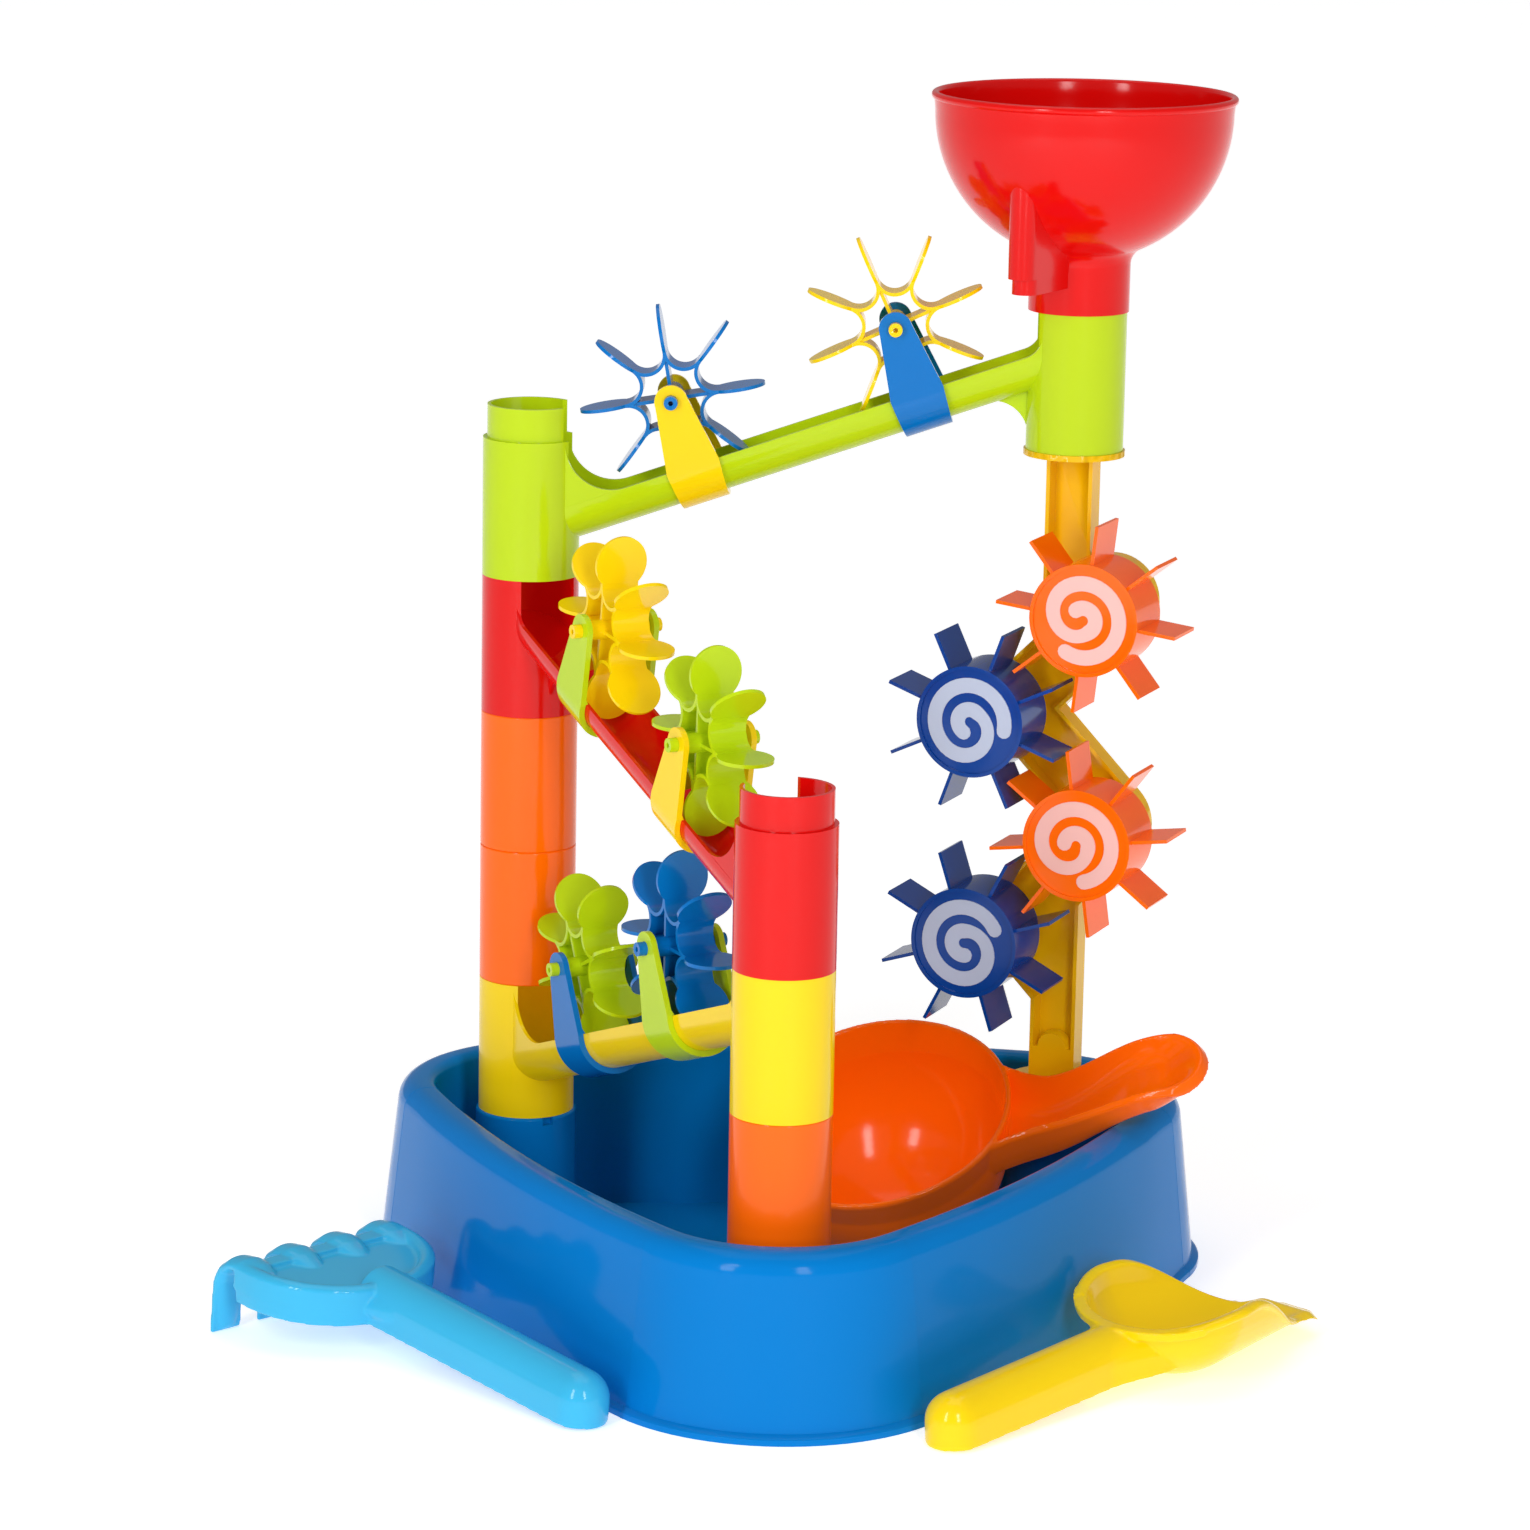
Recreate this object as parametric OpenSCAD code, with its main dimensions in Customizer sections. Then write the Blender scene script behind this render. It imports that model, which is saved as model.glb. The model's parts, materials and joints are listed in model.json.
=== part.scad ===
// Sand wheel toy: a tub, three columns of plug-together tubes, three sloped
// channels with petal wheels, a rail with four meshing sand wheels, a funnel
// and three loose hand tools. Millimetres, +Z up. The origin is the middle of
// the three columns on the floor, +X runs from the left to the right column.

/* [Columns] */
// Distance between the axes of two columns
column_gap = 278; // [270:1:290]
// Height of one tube module
module_h = 71.4; // [70:0.2:76]
// Outside diameter of a tube
tube_od = 50; // [48:0.5:52]
// Wall of a tube
tube_wall = 2; // [1.6:0.1:2.6]
// Height of the spigot that plugs into the next tube
spigot_h = 17; // [12:1:20]
// Wall of the spigot
spigot_wall = 1.8; // [1.4:0.1:2.4]
// Radial clearance between a spigot and the tube over it
spigot_fit = 0.15; // [0.1:0.05:0.3]

/* [Tub] */
// Height of the tub to the top of its rim
tub_h = 90; // [84:1:96]
// Distance that the corner centres lie inside the column axes
corner_inset = 20; // [16:1:24]
// Radius of a tub corner at the foot
corner_foot_r = 92; // [90:1:98]
// Radius of a tub corner just under the rim
corner_top_r = 83.5; // [82:0.5:86]
// Radius of a tub corner at the inner foot
corner_inner_r = 57; // [54:0.5:58]
// Width of the rim, flat part and roundings together
rim_w = 20; // [18:0.5:22]
// Outward bulge of each long side
side_bulge = 10; // [7:0.5:13]
// Wall of the tub
tub_wall = 2.4; // [2:0.1:3]
// Height of the bead round the foot
bead_h = 4; // [3:0.5:6]
// Distance that the bead stands proud of the wall
bead_out = 3.5; // [2:0.5:5]
// Diameter of the stubs that carry the columns
stub_od = 53; // [52:0.5:55]

/* [Channels] */
// Slope of the troughs in degrees
trough_slope = 19.4; // [18:0.2:20.5]
// Height of the trough's underside over the socket's foot, at mid span
trough_mid_z = 60; // [57:0.5:63]
// Radius of the trough's round underside
trough_r = 17; // [16:0.25:18]
// Depth of the trough, square to its slope
trough_depth = 19; // [18:0.5:21]
// Wall of the trough
trough_wall = 2; // [1.6:0.1:2.6]
// Radius of the flare where the trough meets its upper socket
high_flare_r = 12; // [8:1:14]
// Radius of the web under the trough's upper end
web_r = 18; // [12:1:20]

/* [Clips] */
// Thickness of a clip's band
clip_t = 3; // [2.4:0.1:3.6]
// Gap between a clip and the trough
clip_fit = 0.1; // [0.1:0.05:0.25]
// Half length of a clip along the trough, at the trough's edge
clip_half = 14; // [12:0.5:16]
// Half length of a clip under the trough
clip_foot = 12; // [10:0.5:14]
// Radius of the rounded top of a clip arm
arm_r = 8.5; // [7.5:0.5:10]
// Height of the wheel axis over the trough's underside
pin_z = 54; // [52:0.5:58]
// Size of the tooth that hooks over the trough's edge
tooth = 1.2; // [0.8:0.1:1.4]
// Place of the low clip on the upper trough, from mid span
upper_low_at = -52; // [-60:1:-45]
// Place of the high clip on the upper trough, from mid span
upper_high_at = 68; // [60:1:72]
// Place of the low clip on the middle trough, from mid span
middle_low_at = -47.5; // [-54:0.5:-42]
// Place of the high clip on the middle trough, from mid span
middle_high_at = 63; // [56:1:68]
// Place of the low clip on the lower trough, from mid span
lower_low_at = -48.5; // [-54:0.5:-44]
// Place of the high clip on the lower trough, from mid span
lower_high_at = 54; // [51:0.5:60]

/* [Petal wheels] */
// Radius to the tips of the petals
petal_tip_r = 48; // [44:0.5:48.5]
// Radius of the round end of a petal
petal_round = 14; // [12:0.25:14]
// Thickness of a petal
petal_t = 1.8; // [1.4:0.1:2.4]
// Radius of the ring that carries the petals, in the valley between two petals
ring_r = 17; // [16:0.25:18]
// Radius of the round valley between two petals
valley_r = 9; // [8.5:0.1:9]
// Width of the ring along the axle
ring_w = 20; // [16:0.5:22]
// Diameter of the moulded axle pin
axle_d = 7; // [6:0.25:8]
// Length of the moulded axle pin
axle_len = 49; // [46:1:54]
// Radial running clearance of every axle
run_fit = 0.08; // [0.05:0.01:0.1]

/* [Sand wheels] */
// Radius of the drum
drum_r = 29; // [27:0.5:30]
// Depth of the drum
drum_depth = 35; // [32:0.5:38]
// Wall of the drum
drum_wall = 2; // [1.6:0.1:2.6]
// Radius to the tips of the paddles
paddle_tip_r = 48.5; // [46:0.5:50]
// Length of a paddle along the axle
paddle_len = 30; // [26:0.5:31]
// Thickness of a paddle
paddle_t = 1.8; // [1.4:0.1:2.4]
// Thickness of the spiral label
label_t = 0.6; // [0.4:0.1:0.8]
// Width of the spiral's band
spiral_w = 7.8; // [7:0.1:8.2]
// Radius of the spiral's outer turn, to the middle of the band
spiral_out = 19.1; // [18:0.1:20]
// Radius of the spiral's inner turn, to the middle of the band
spiral_in = 6.5; // [6.2:0.1:7]

/* [Wheel rail] */
// Turn of the rail about its column in degrees
rail_turn = 22; // [18:1:26]
// Width of the rail
rail_w = 25; // [22:0.5:28]
// Depth of the rail from front to back
rail_depth = 12; // [10:0.5:14]
// Wall of the rail
rail_wall = 2; // [1.6:0.1:2.6]
// Sideways place of the wheels on the right
right_wheel_x = 25; // [22:0.5:26]
// Sideways place of the wheels on the left
left_wheel_x = -35; // [-38:0.5:-34]
// Drop from the rail's top to the top wheel's axis
top_wheel_drop = 76.4; // [74:0.2:80]
// Drop from one wheel to the next
wheel_drop = 58.5; // [57:0.5:60]
// Radius of the rail's round ears on the right
right_ear_r = 24; // [22:0.5:26]
// Radius of the rail's round ears on the left
left_ear_r = 12; // [11.5:0.5:14]
// Rise of the ears over the wheels' axes
ear_up = 2.5; // [1:0.5:4.5]
// Distance from the rail's middle plane to the back of the drums
drum_stand = 13; // [11:0.5:15]
// Thickness of the flange under the upper channel
flange_t = 3; // [2.5:0.5:4]
// Distance that the flange stands proud of the tube
flange_out = 1; // [0.5:0.25:2]
// Height of the cup at the rail's foot
cup_h = 22; // [20:1:26]

/* [Funnel] */
// Outside radius of the bowl
bowl_r = 75.5; // [72:0.5:80]
// Height of the neck and bowl to the bowl's centre
bowl_mid_h = 101; // [99:1:106]
// Height of the straight band over the bowl's centre
bowl_band_h = 9; // [6:0.5:12]
// Radius of the rolled lip
lip_r = 2; // [1.5:0.25:3]
// Wall of the funnel
funnel_wall = 2; // [1.6:0.1:2.6]
// Outside radius of the neck
neck_r = 25.8; // [25.6:0.1:27]
// Height of the neck's straight part
neck_h = 23; // [21:0.5:26]
// Reach of the pocket beside the neck
pocket_reach = 37.5; // [35:0.5:40]
// Width of the pocket
pocket_w = 14; // [12:0.5:16]
// Height of the pocket
pocket_h = 50; // [46:1:54]

/* [Scoop] */
// Outside radius of the scoop's rim
scoop_r = 70; // [68:0.5:71]
// Outside radius of the scoop's round bottom
scoop_bottom_r = 66; // [64:0.5:67]
// Height of the scoop's collar between bottom and rim
scoop_collar = 18.3; // [16:0.1:20]
// Wall of the scoop
scoop_wall = 2; // [1.6:0.1:2.6]
// Length of the scoop's handle
scoop_handle = 102; // [95:1:110]
// Width of the scoop's handle
scoop_handle_w = 43; // [38:1:46]
// Depth of the handle's channel
scoop_channel = 14; // [12:0.5:16]
// Rise of the handle's end
scoop_rise = 20; // [16:0.5:24]

/* [Rake and shovel] */
// Width of the rake's and the shovel's handles
grip_w = 28.5; // [26:0.5:30]
// Height of the handles
grip_h = 25; // [22:0.5:28]
// Wall of the rake and the shovel
tool_wall = 2.4; // [2:0.1:3]
// Length of the rake to its row of tines
rake_len = 215; // [208:1:222]
// Distance between neighbouring tines
tine_gap = 29.4; // [27:0.2:31]
// Width of a tine
tine_w = 18; // [16:0.5:20]
// Drop of the tines under the handle's underside
tine_drop = 22.5; // [20:0.5:25]
// Slope of the lying rake in degrees
rake_pitch = 5.5; // [5:0.1:6]
// Length of the shovel's handle to the middle of its bowl
shovel_mid = 174; // [170:1:182]
// Radius of the shovel's bowl
shovel_r = 46; // [43:0.5:48]
// Distance from the bowl's middle to the shovel's tip
shovel_nose = 90; // [86:1:96]
// Radius of the shovel's nose at its tip
shovel_nose_r = 22; // [20:0.5:24]
// Slope of the lying shovel in degrees
shovel_pitch = 3.7; // [3.4:0.1:4.2]

/* [Hidden] */
$fn = 64;
skin = 0.6;
over = 1;

// Colours
lime = "#c8e03a";
red = "#e0201a";
orange = "#fa6a12";
yellow = "#fad020";
tub_blue = "#1687cf";
clip_blue = "#1c86cc";
drum_blue = "#1b4fa3";
rake_blue = "#58c2ee";

// Columns
column_r = column_gap / sqrt(3);
left_at = column_r * [cos(150), sin(150)];
front_at = column_r * [0, -1];
right_at = column_r * [cos(30), sin(30)];
tube_or = tube_od / 2;
tube_ir = tube_or - tube_wall;
spigot_or = tube_ir - spigot_fit;
spigot_ir = spigot_or - spigot_wall;
spigot_root = 4;
spigot_taper = 3;

// A point list moved inwards, or outwards for a negative distance
function unit(v) = v / norm(v);
function side(u) = [-u.y, u.x];
function inset(p, d) = let (n = len(p)) [for (i = [0:n - 1])
  let (u = side(unit(p[i] - p[(i + n - 1) % n])), v = side(unit(p[(i + 1) % n] - p[i])))
  p[i] + d * (u + v) / (1 + u * v)];
function arc(c, r, a0, a1, steps) = [for (i = [0:steps]) let (a = a0 + (a1 - a0) * i / steps)
  c + r * [cos(a), sin(a)]];

// Outside and bore of a tube with its spigot
module tube_outside(h) {
  rotate_extrude()
    polygon([[0, 0], [tube_or, 0], [tube_or, h], [spigot_or, h], [spigot_or, h + spigot_h],
      [0, h + spigot_h]]);
}

module tube_bore(h) {
  rotate_extrude()
    polygon([[0, -over], [tube_ir, -over], [tube_ir, h - spigot_root - spigot_taper],
      [spigot_ir, h - spigot_root], [spigot_ir, h + spigot_h + over], [0, h + spigot_h + over]]);
}

module plain_tube() {
  difference() {
    tube_outside(module_h);
    tube_bore(module_h);
  }
}

module at_column(place, level) {
  translate([place.x, place.y, level * module_h]) children();
}

// Tub: one thin profile swept round three corners and along three long sides
corner_r = column_r - corner_inset;
side_half = corner_r * sqrt(3) / 2;
side_r = (side_half * side_half + side_bulge * side_bulge) / (2 * side_bulge);
side_span = 2 * asin(side_half / side_r);
corner_span = 120 - side_span;
seam_step = 0.1;
seam_reach = 3;
rim_out_r = 11;
rim_in_r = 5;
rim_in = corner_top_r - rim_w;
wall_lean = atan2(corner_foot_r - corner_top_r, tub_h - rim_out_r - bead_h);
inner_lean = atan2(rim_in - corner_inner_r, tub_h - rim_in_r);

function rim_line() = concat(
  [[corner_foot_r + bead_out, 0], [corner_foot_r + bead_out, bead_h - over],
    [corner_foot_r + bead_out - over, bead_h], [corner_foot_r, bead_h + over]],
  arc([corner_top_r - rim_out_r, tub_h - rim_out_r], rim_out_r, wall_lean, 90, 6),
  arc([rim_in + rim_in_r, tub_h - rim_in_r], rim_in_r, 90, 180 - inner_lean, 5),
  [[corner_inner_r, 0]]);

// The profile's inner line follows the outer one at the wall's thickness
function tub_profile() = let (p = rim_line(), n = len(p), closed = concat(p, [[corner_inner_r - 9, -9],
  [corner_foot_r + bead_out + 9, -9]]), q = inset(closed, tub_wall))
  concat(p, [[corner_inner_r + tub_wall, 0]], [for (i = [n - 2:-1:4]) q[i]],
    [[corner_foot_r - tub_wall, bead_h], [corner_foot_r - tub_wall, 0]]);

function ring_points(rho) = [for (k = [0:2]) let (turn = 120 * k) each concat(
  [for (i = [0:12]) let (a = turn - 90 - corner_span / 2 + corner_span * i / 12)
    corner_r * [cos(turn - 90), sin(turn - 90)] + rho * [cos(a), sin(a)]],
  [for (i = [1:5]) let (a = turn - 30 - side_span / 2 + side_span * i / 6,
      m = corner_r / 2 + side_bulge - side_r)
    m * [cos(turn - 30), sin(turn - 30)] + (side_r + rho) * [cos(a), sin(a)]])];

module tub_wall_ring() {
  seam_turn = asin(seam_reach / side_r);
  for (k = [0:2]) rotate(120 * k) {
    translate([0, -corner_r, 0]) rotate(-90 - corner_span / 2)
      rotate_extrude(angle = corner_span) polygon(tub_profile());
    rotate(-30) translate([corner_r / 2 + side_bulge - side_r, 0, 0]) rotate(-side_span / 2 - seam_turn)
      rotate_extrude(angle = side_span + 2 * seam_turn)
        translate([side_r, 0]) polygon(inset(tub_profile(), seam_step));
  }
}

stub_or = stub_od / 2;
stub_round = 1.5;
notch_w = 6;
notch_h = 4;
module stub() {
  difference() {
    rotate_extrude()
      polygon(concat([[0, tub_wall / 2], [stub_or, tub_wall / 2]],
        arc([stub_or - stub_round, module_h - stub_round], stub_round, 0, 90, 4),
        [[spigot_or, module_h], [spigot_or, module_h + spigot_h], [0, module_h + spigot_h]]));
    difference() {
      tube_bore(module_h);
      translate([0, 0, -over]) cylinder(r = stub_od, h = tub_wall + over);
    }
  }
}

module tub() {
  color(tub_blue) difference() {
    union() {
      tub_wall_ring();
      linear_extrude(tub_wall) polygon(ring_points(corner_inner_r + tub_wall / 2));
      for (place = [left_at, front_at, right_at]) translate([place.x, place.y, 0]) stub();
    }
    translate([left_at.x, left_at.y, module_h - notch_h]) rotate(-60)
      translate([(tube_or + stub_or) / 2 - notch_w / 2, -notch_w / 2, 0])
        cube([stub_or, notch_w, notch_h + over]);
  }
}

// Channel, in its own frame: lower socket at the origin, trough rising along +X
half_gap = column_gap / 2;
edge_z0 = trough_mid_z + trough_depth / cos(trough_slope);
function edge_z(x) = edge_z0 + (x - half_gap) * tan(trough_slope);
function under_z(x) = trough_mid_z + (x - half_gap) * tan(trough_slope);
plate_x = sqrt(tube_or * tube_or - trough_r * trough_r);
low_flare_r = (module_h - over - edge_z(plate_x)) / (tan(trough_slope) + 1 / cos(trough_slope));
edge_overlap = (trough_depth - trough_r) * 0.75;

module trough_section(r, top) {
  translate([0, trough_r]) circle(r = r);
  translate([-r, trough_r]) square([2 * r, top - trough_r]);
}

module on_slope() {
  translate([half_gap, 0, trough_mid_z]) rotate([0, -trough_slope, 0]) children();
}

module trough_bar(r, top) {
  reach = half_gap / cos(trough_slope) + tube_od;
  intersection() {
    on_slope() rotate([90, 0, 90]) translate([0, 0, -reach]) linear_extrude(2 * reach)
      difference() {
        trough_section(r, top);
        translate([-2 * r, top]) square([4 * r, 4 * r]);
      }
    translate([0, -2 * trough_r, -module_h]) cube([column_gap, 4 * trough_r, 5 * module_h]);
  }
}

module flare_plate() {
  cl = [plate_x + low_flare_r, module_h - over];
  tl = cl + low_flare_r * [sin(trough_slope), -cos(trough_slope)];
  xh = column_gap - plate_x;
  ch = [xh - high_flare_r, edge_z(xh - high_flare_r) + high_flare_r / cos(trough_slope)];
  th = ch + high_flare_r * [sin(trough_slope), -cos(trough_slope)];
  down = [0, edge_overlap];
  rotate([90, 0, 0]) translate([0, 0, seam_step - trough_r]) linear_extrude(2 * (trough_r - seam_step)) {
    difference() {
      polygon([[plate_x - 5, edge_z(plate_x - 5)] - down, [plate_x - 5, cl.y], cl, tl, tl - down]);
      translate(cl) circle(r = low_flare_r);
    }
    difference() {
      polygon([th, ch, [xh + 5, ch.y], [xh + 5, edge_z(xh + 5)] - down, th - down]);
      translate(ch) circle(r = high_flare_r);
    }
  }
}

module under_web() {
  k = column_gap - tube_or + tube_wall / 2;
  foot = under_z(k - web_r) - web_r + over;
  rotate([90, 0, 0]) translate([0, 0, -trough_wall / 2]) linear_extrude(trough_wall)
    difference() {
      polygon([[k - web_r, foot], [k - web_r, foot + web_r + over], [k, under_z(k) + over], [k, foot]]);
      translate([k - web_r, foot]) circle(r = web_r);
    }
}

// Sloped floor in the upper socket that turns the sand into the trough
module turn_floor() {
  intersection() {
    on_slope() translate([0, -tube_od, 3 * seam_step]) cube([column_gap, 2 * tube_od, trough_wall]);
    translate([column_gap, 0, module_h]) cylinder(r = tube_ir + tube_wall / 2, h = module_h - spigot_root);
  }
}

module channel() {
  difference() {
    union() {
      tube_outside(module_h);
      translate([column_gap, 0, module_h]) tube_outside(module_h);
      trough_bar(trough_r, trough_depth);
      flare_plate();
      under_web();
    }
    tube_bore(module_h);
    translate([column_gap, 0, module_h]) tube_bore(module_h);
    trough_bar(trough_r - trough_wall, 4 * module_h);
  }
  turn_floor();
}

module at_upper() {
  at_column(left_at, 5) children();
}

module at_middle() {
  at_column(front_at, 3) rotate(120) children();
}

module at_lower() {
  at_column(left_at, 1) rotate(-60) children();
}

module upper_channel() {
  color(lime) at_upper() channel();
}

module middle_channel() {
  color(red) at_middle() channel();
}

module lower_channel() {
  color(yellow) at_lower() channel();
}

module left_lower_tube() {
  color(orange) at_column(left_at, 2) plain_tube();
}

module left_upper_tube() {
  color(orange) at_column(left_at, 3) plain_tube();
}

module front_tube() {
  color(orange) at_column(front_at, 1) plain_tube();
}

// Clip: a U band round the trough with two arms that carry the wheel's axle
band_in = trough_r + clip_fit;
band_out = band_in + clip_t;
module tooth_shape() {
  foot = trough_depth + clip_fit;
  polygon([[band_in + over, foot], [band_in - tooth, foot], [band_in + over, foot + 4 * tooth]]);
}

module clip() {
  difference() {
    intersection() {
      rotate([90, 0, 90]) translate([0, 0, -2 * clip_half]) linear_extrude(4 * clip_half)
        difference() {
          trough_section(band_out, pin_z + 2 * arm_r);
          difference() {
            trough_section(band_in, pin_z + 3 * arm_r);
            for (s = [0, 1]) mirror([s, 0]) tooth_shape();
          }
        }
      rotate([90, 0, 0]) translate([0, 0, -2 * band_out]) linear_extrude(4 * band_out) {
        translate([0, pin_z]) circle(r = arm_r);
        polygon([[-clip_foot, -2 * clip_t], [clip_foot, -2 * clip_t], [clip_half, trough_depth],
          [arm_r, pin_z], [-arm_r, pin_z], [-clip_half, trough_depth]]);
      }
    }
    translate([0, 2 * band_out, pin_z]) rotate([90, 0, 0])
      cylinder(r = axle_d / 2 + run_fit, h = 4 * band_out);
  }
}

// Petal wheel: hub and pin, four spokes, wavy ring and eight petals, axis along Y
hub_r = axle_d / 2 + 1.6;
hub_len = 2 * (band_in - 0.5);
pin_hole_d = 2.6;
pin_hole_deep = 7;
petal_count = 8;
petal_root = ring_w / 2 - skin;
petal_neck = petal_round - 2;
petal_step = 360 / petal_count;
valley_at = ring_r + valley_r;
crest_r = valley_at * cos(petal_step / 2);
crest_in = crest_r - sqrt(pow(valley_r + petal_t, 2) - pow(valley_at * sin(petal_step / 2), 2));
module petal_outline() {
  translate([petal_tip_r - petal_round, 0]) circle(r = petal_round);
  polygon([[crest_r - 3, -petal_root], [petal_tip_r - petal_round, -petal_neck],
    [petal_tip_r - petal_round, petal_neck], [crest_r - 3, petal_root]]);
}

// A disc with a round valley cut in between each two petals
module star(r, cut) {
  difference() {
    circle(r = r);
    for (i = [0:petal_count - 1]) rotate((i + 0.5) * petal_step) translate([valley_at, 0]) circle(r = cut);
  }
}

module petal_wheel(phase) {
  rotate([90, 0, 0]) {
    difference() {
      union() {
        cylinder(r = axle_d / 2, h = axle_len, center = true);
        cylinder(r = hub_r, h = hub_len, center = true);
      }
      for (s = [-1, 1]) translate([0, 0, s * axle_len / 2])
        cylinder(d = pin_hole_d, h = 2 * pin_hole_deep, center = true);
    }
    rotate(phase) translate([0, 0, -ring_w / 2]) linear_extrude(ring_w) difference() {
      star(crest_r, valley_r);
      star(crest_in + skin, valley_r + petal_t);
    }
    for (i = [0:petal_count - 1]) rotate(phase + i * petal_step) {
      rotate([90, 0, 0]) translate([0, 0, -petal_t / 2]) linear_extrude(petal_t) petal_outline();
      if (i % 2 == 0) translate([hub_r - over, -petal_t / 2, -ring_w / 2 + over])
        cube([crest_in - hub_r + 2 * over, petal_t, ring_w - 2 * over]);
    }
  }
}

module in_clip(at) {
  on_slope() translate([at, 0, 0]) children();
}

module wheel_in_clip(at, phase) {
  in_clip(at) translate([0, 0, pin_z]) petal_wheel(phase);
}

module upper_low_clip() {
  color(yellow) at_upper() in_clip(upper_low_at) clip();
}

module upper_high_clip() {
  color(clip_blue) at_upper() in_clip(upper_high_at) clip();
}

module middle_low_clip() {
  color(yellow) at_middle() in_clip(middle_low_at) clip();
}

module middle_high_clip() {
  color(lime) at_middle() in_clip(middle_high_at) clip();
}

module lower_low_clip() {
  color(clip_blue) at_lower() in_clip(lower_low_at) clip();
}

module lower_high_clip() {
  color(lime) at_lower() in_clip(lower_high_at) clip();
}

module upper_low_wheel() {
  color(clip_blue) at_upper() wheel_in_clip(upper_low_at, -9.4);
}

module upper_high_wheel() {
  color(yellow) at_upper() wheel_in_clip(upper_high_at, 5.6);
}

module middle_low_wheel() {
  color(lime) at_middle() wheel_in_clip(middle_low_at, -16);
}

module middle_high_wheel() {
  color(yellow) at_middle() wheel_in_clip(middle_high_at, -11.5);
}

module lower_low_wheel() {
  color(lime) at_lower() wheel_in_clip(lower_low_at, 6);
}

module lower_high_wheel() {
  color(clip_blue) at_lower() wheel_in_clip(lower_high_at, -20);
}

// Wheel rail, in its own frame: middle plane at Y 0, front towards -Y
wheel_count = 4;
paddle_phase = [39, 25.5, 8.5, 18.5];
label_turn = [241, -9, 284, 28];
boss_r = 7;
post_gap = 0.4;
post_len = 24;
rail_top = 6 * module_h - flange_t;
rail_foot = module_h + cup_h;
pocket_foot = rail_foot + 18;
dome_r = 9;
plug_h = 15;
cup_roof = 3;
function wheel_x(k) = k % 2 == 0 ? right_wheel_x : left_wheel_x;
function wheel_z(k) = rail_top - top_wheel_drop - k * wheel_drop;
ear_back = 2;
function ear_r(k) = k % 2 == 0 ? right_ear_r : left_ear_r;
function ear_at(k) = [wheel_x(k) - (k % 2 == 0 ? ear_back : 0), wheel_z(k) + ear_up];

// Strip from one ear down to the next, between two slanting lines that touch the ears
module rail_strip(k, d) {
  turn = k % 2 == 0 ? 1 : -1;
  a = ear_r(k) - d;
  b = ear_r(k + 1) - d;
  p = [turn * ear_at(k).x, ear_at(k).y];
  q = [turn * ear_at(k + 1).x, ear_at(k + 1).y];
  mirror([k % 2, 0])
    polygon([p + a * [cos(45), -cos(45)], p, [q.x - q.y + p.y - b * sqrt(2), p.y],
      q + b * [-cos(45), cos(45)], q, [p.x - p.y + q.y + a * sqrt(2), q.y]]);
}

module rail_outline(d, foot) {
  half = rail_w / 2 - d;
  last = ear_at(wheel_count - 1);
  low = (ear_r(wheel_count - 1) - d) * cos(45);
  top_foot = ear_at(1).y - ear_at(1).x - half + (left_ear_r - d) * sqrt(2);
  low_top = ear_at(2).y - ear_at(2).x + half - (right_ear_r - d) * sqrt(2);
  translate([-half, top_foot]) square([2 * half, rail_top - top_foot]);
  translate([-half, foot]) square([2 * half, low_top - foot]);
  polygon([last, last - [low, low], [-half, last.x + last.y - 2 * low + half],
    [0, last.y - low], [0, last.y]]);
  for (k = [0:wheel_count - 1]) translate(ear_at(k)) circle(r = ear_r(k) - d);
  for (k = [0:wheel_count - 2]) rail_strip(k, d);
}

module rail_slab(d, foot, back, front) {
  rotate([90, 0, 0]) translate([0, 0, back]) linear_extrude(front - back) rail_outline(d, foot);
}

module at_rail() {
  translate([right_at.x, right_at.y, 0]) rotate(-rail_turn) children();
}

module wheel_rail() {
  color(yellow) at_rail() {
    difference() {
      rail_slab(0, rail_foot - over, -rail_depth / 2, rail_depth / 2);
      rail_slab(rail_wall, pocket_foot, -rail_depth / 2 + rail_wall, rail_depth / 2 + over);
    }
    translate([0, -rail_depth / 2 + dome_r / 2, pocket_foot]) intersection() {
      sphere(r = dome_r);
      translate([-dome_r, -dome_r / 2, -dome_r]) cube([2 * dome_r, dome_r, 2 * dome_r]);
    }
    for (k = [0:wheel_count - 1]) translate([wheel_x(k), rail_depth / 2 - rail_wall / 2, wheel_z(k)])
      rotate([90, 0, 0]) {
        cylinder(r = boss_r, h = rail_depth / 2 - rail_wall / 2 + drum_stand - post_gap);
        cylinder(r = axle_d / 2, h = rail_depth / 2 - rail_wall / 2 + drum_stand + post_len);
      }
    translate([0, 0, rail_top]) cylinder(r = tube_or + flange_out, h = flange_t);
    difference() {
      translate([0, 0, rail_top]) cylinder(r = spigot_or, h = flange_t + plug_h);
      translate([0, 0, rail_top + flange_t]) cylinder(r = spigot_ir, h = plug_h + over);
    }
    difference() {
      translate([0, 0, module_h]) cylinder(r = tube_or, h = cup_h);
      translate([0, 0, module_h - over]) cylinder(r = tube_ir, h = cup_h - cup_roof + over);
    }
  }
}

// Sand wheel, built along +Z from the back of its drum and then turned to the front
hub_out = axle_d / 2 + 3;
face_t = 2.4;
rim_lift = 1;
paddle_count = 8;
paddle_back = 2.5;
module at_wheel(k) {
  at_rail() translate([wheel_x(k), -drum_stand, wheel_z(k)]) rotate([90, 0, 0]) children();
}

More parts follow.
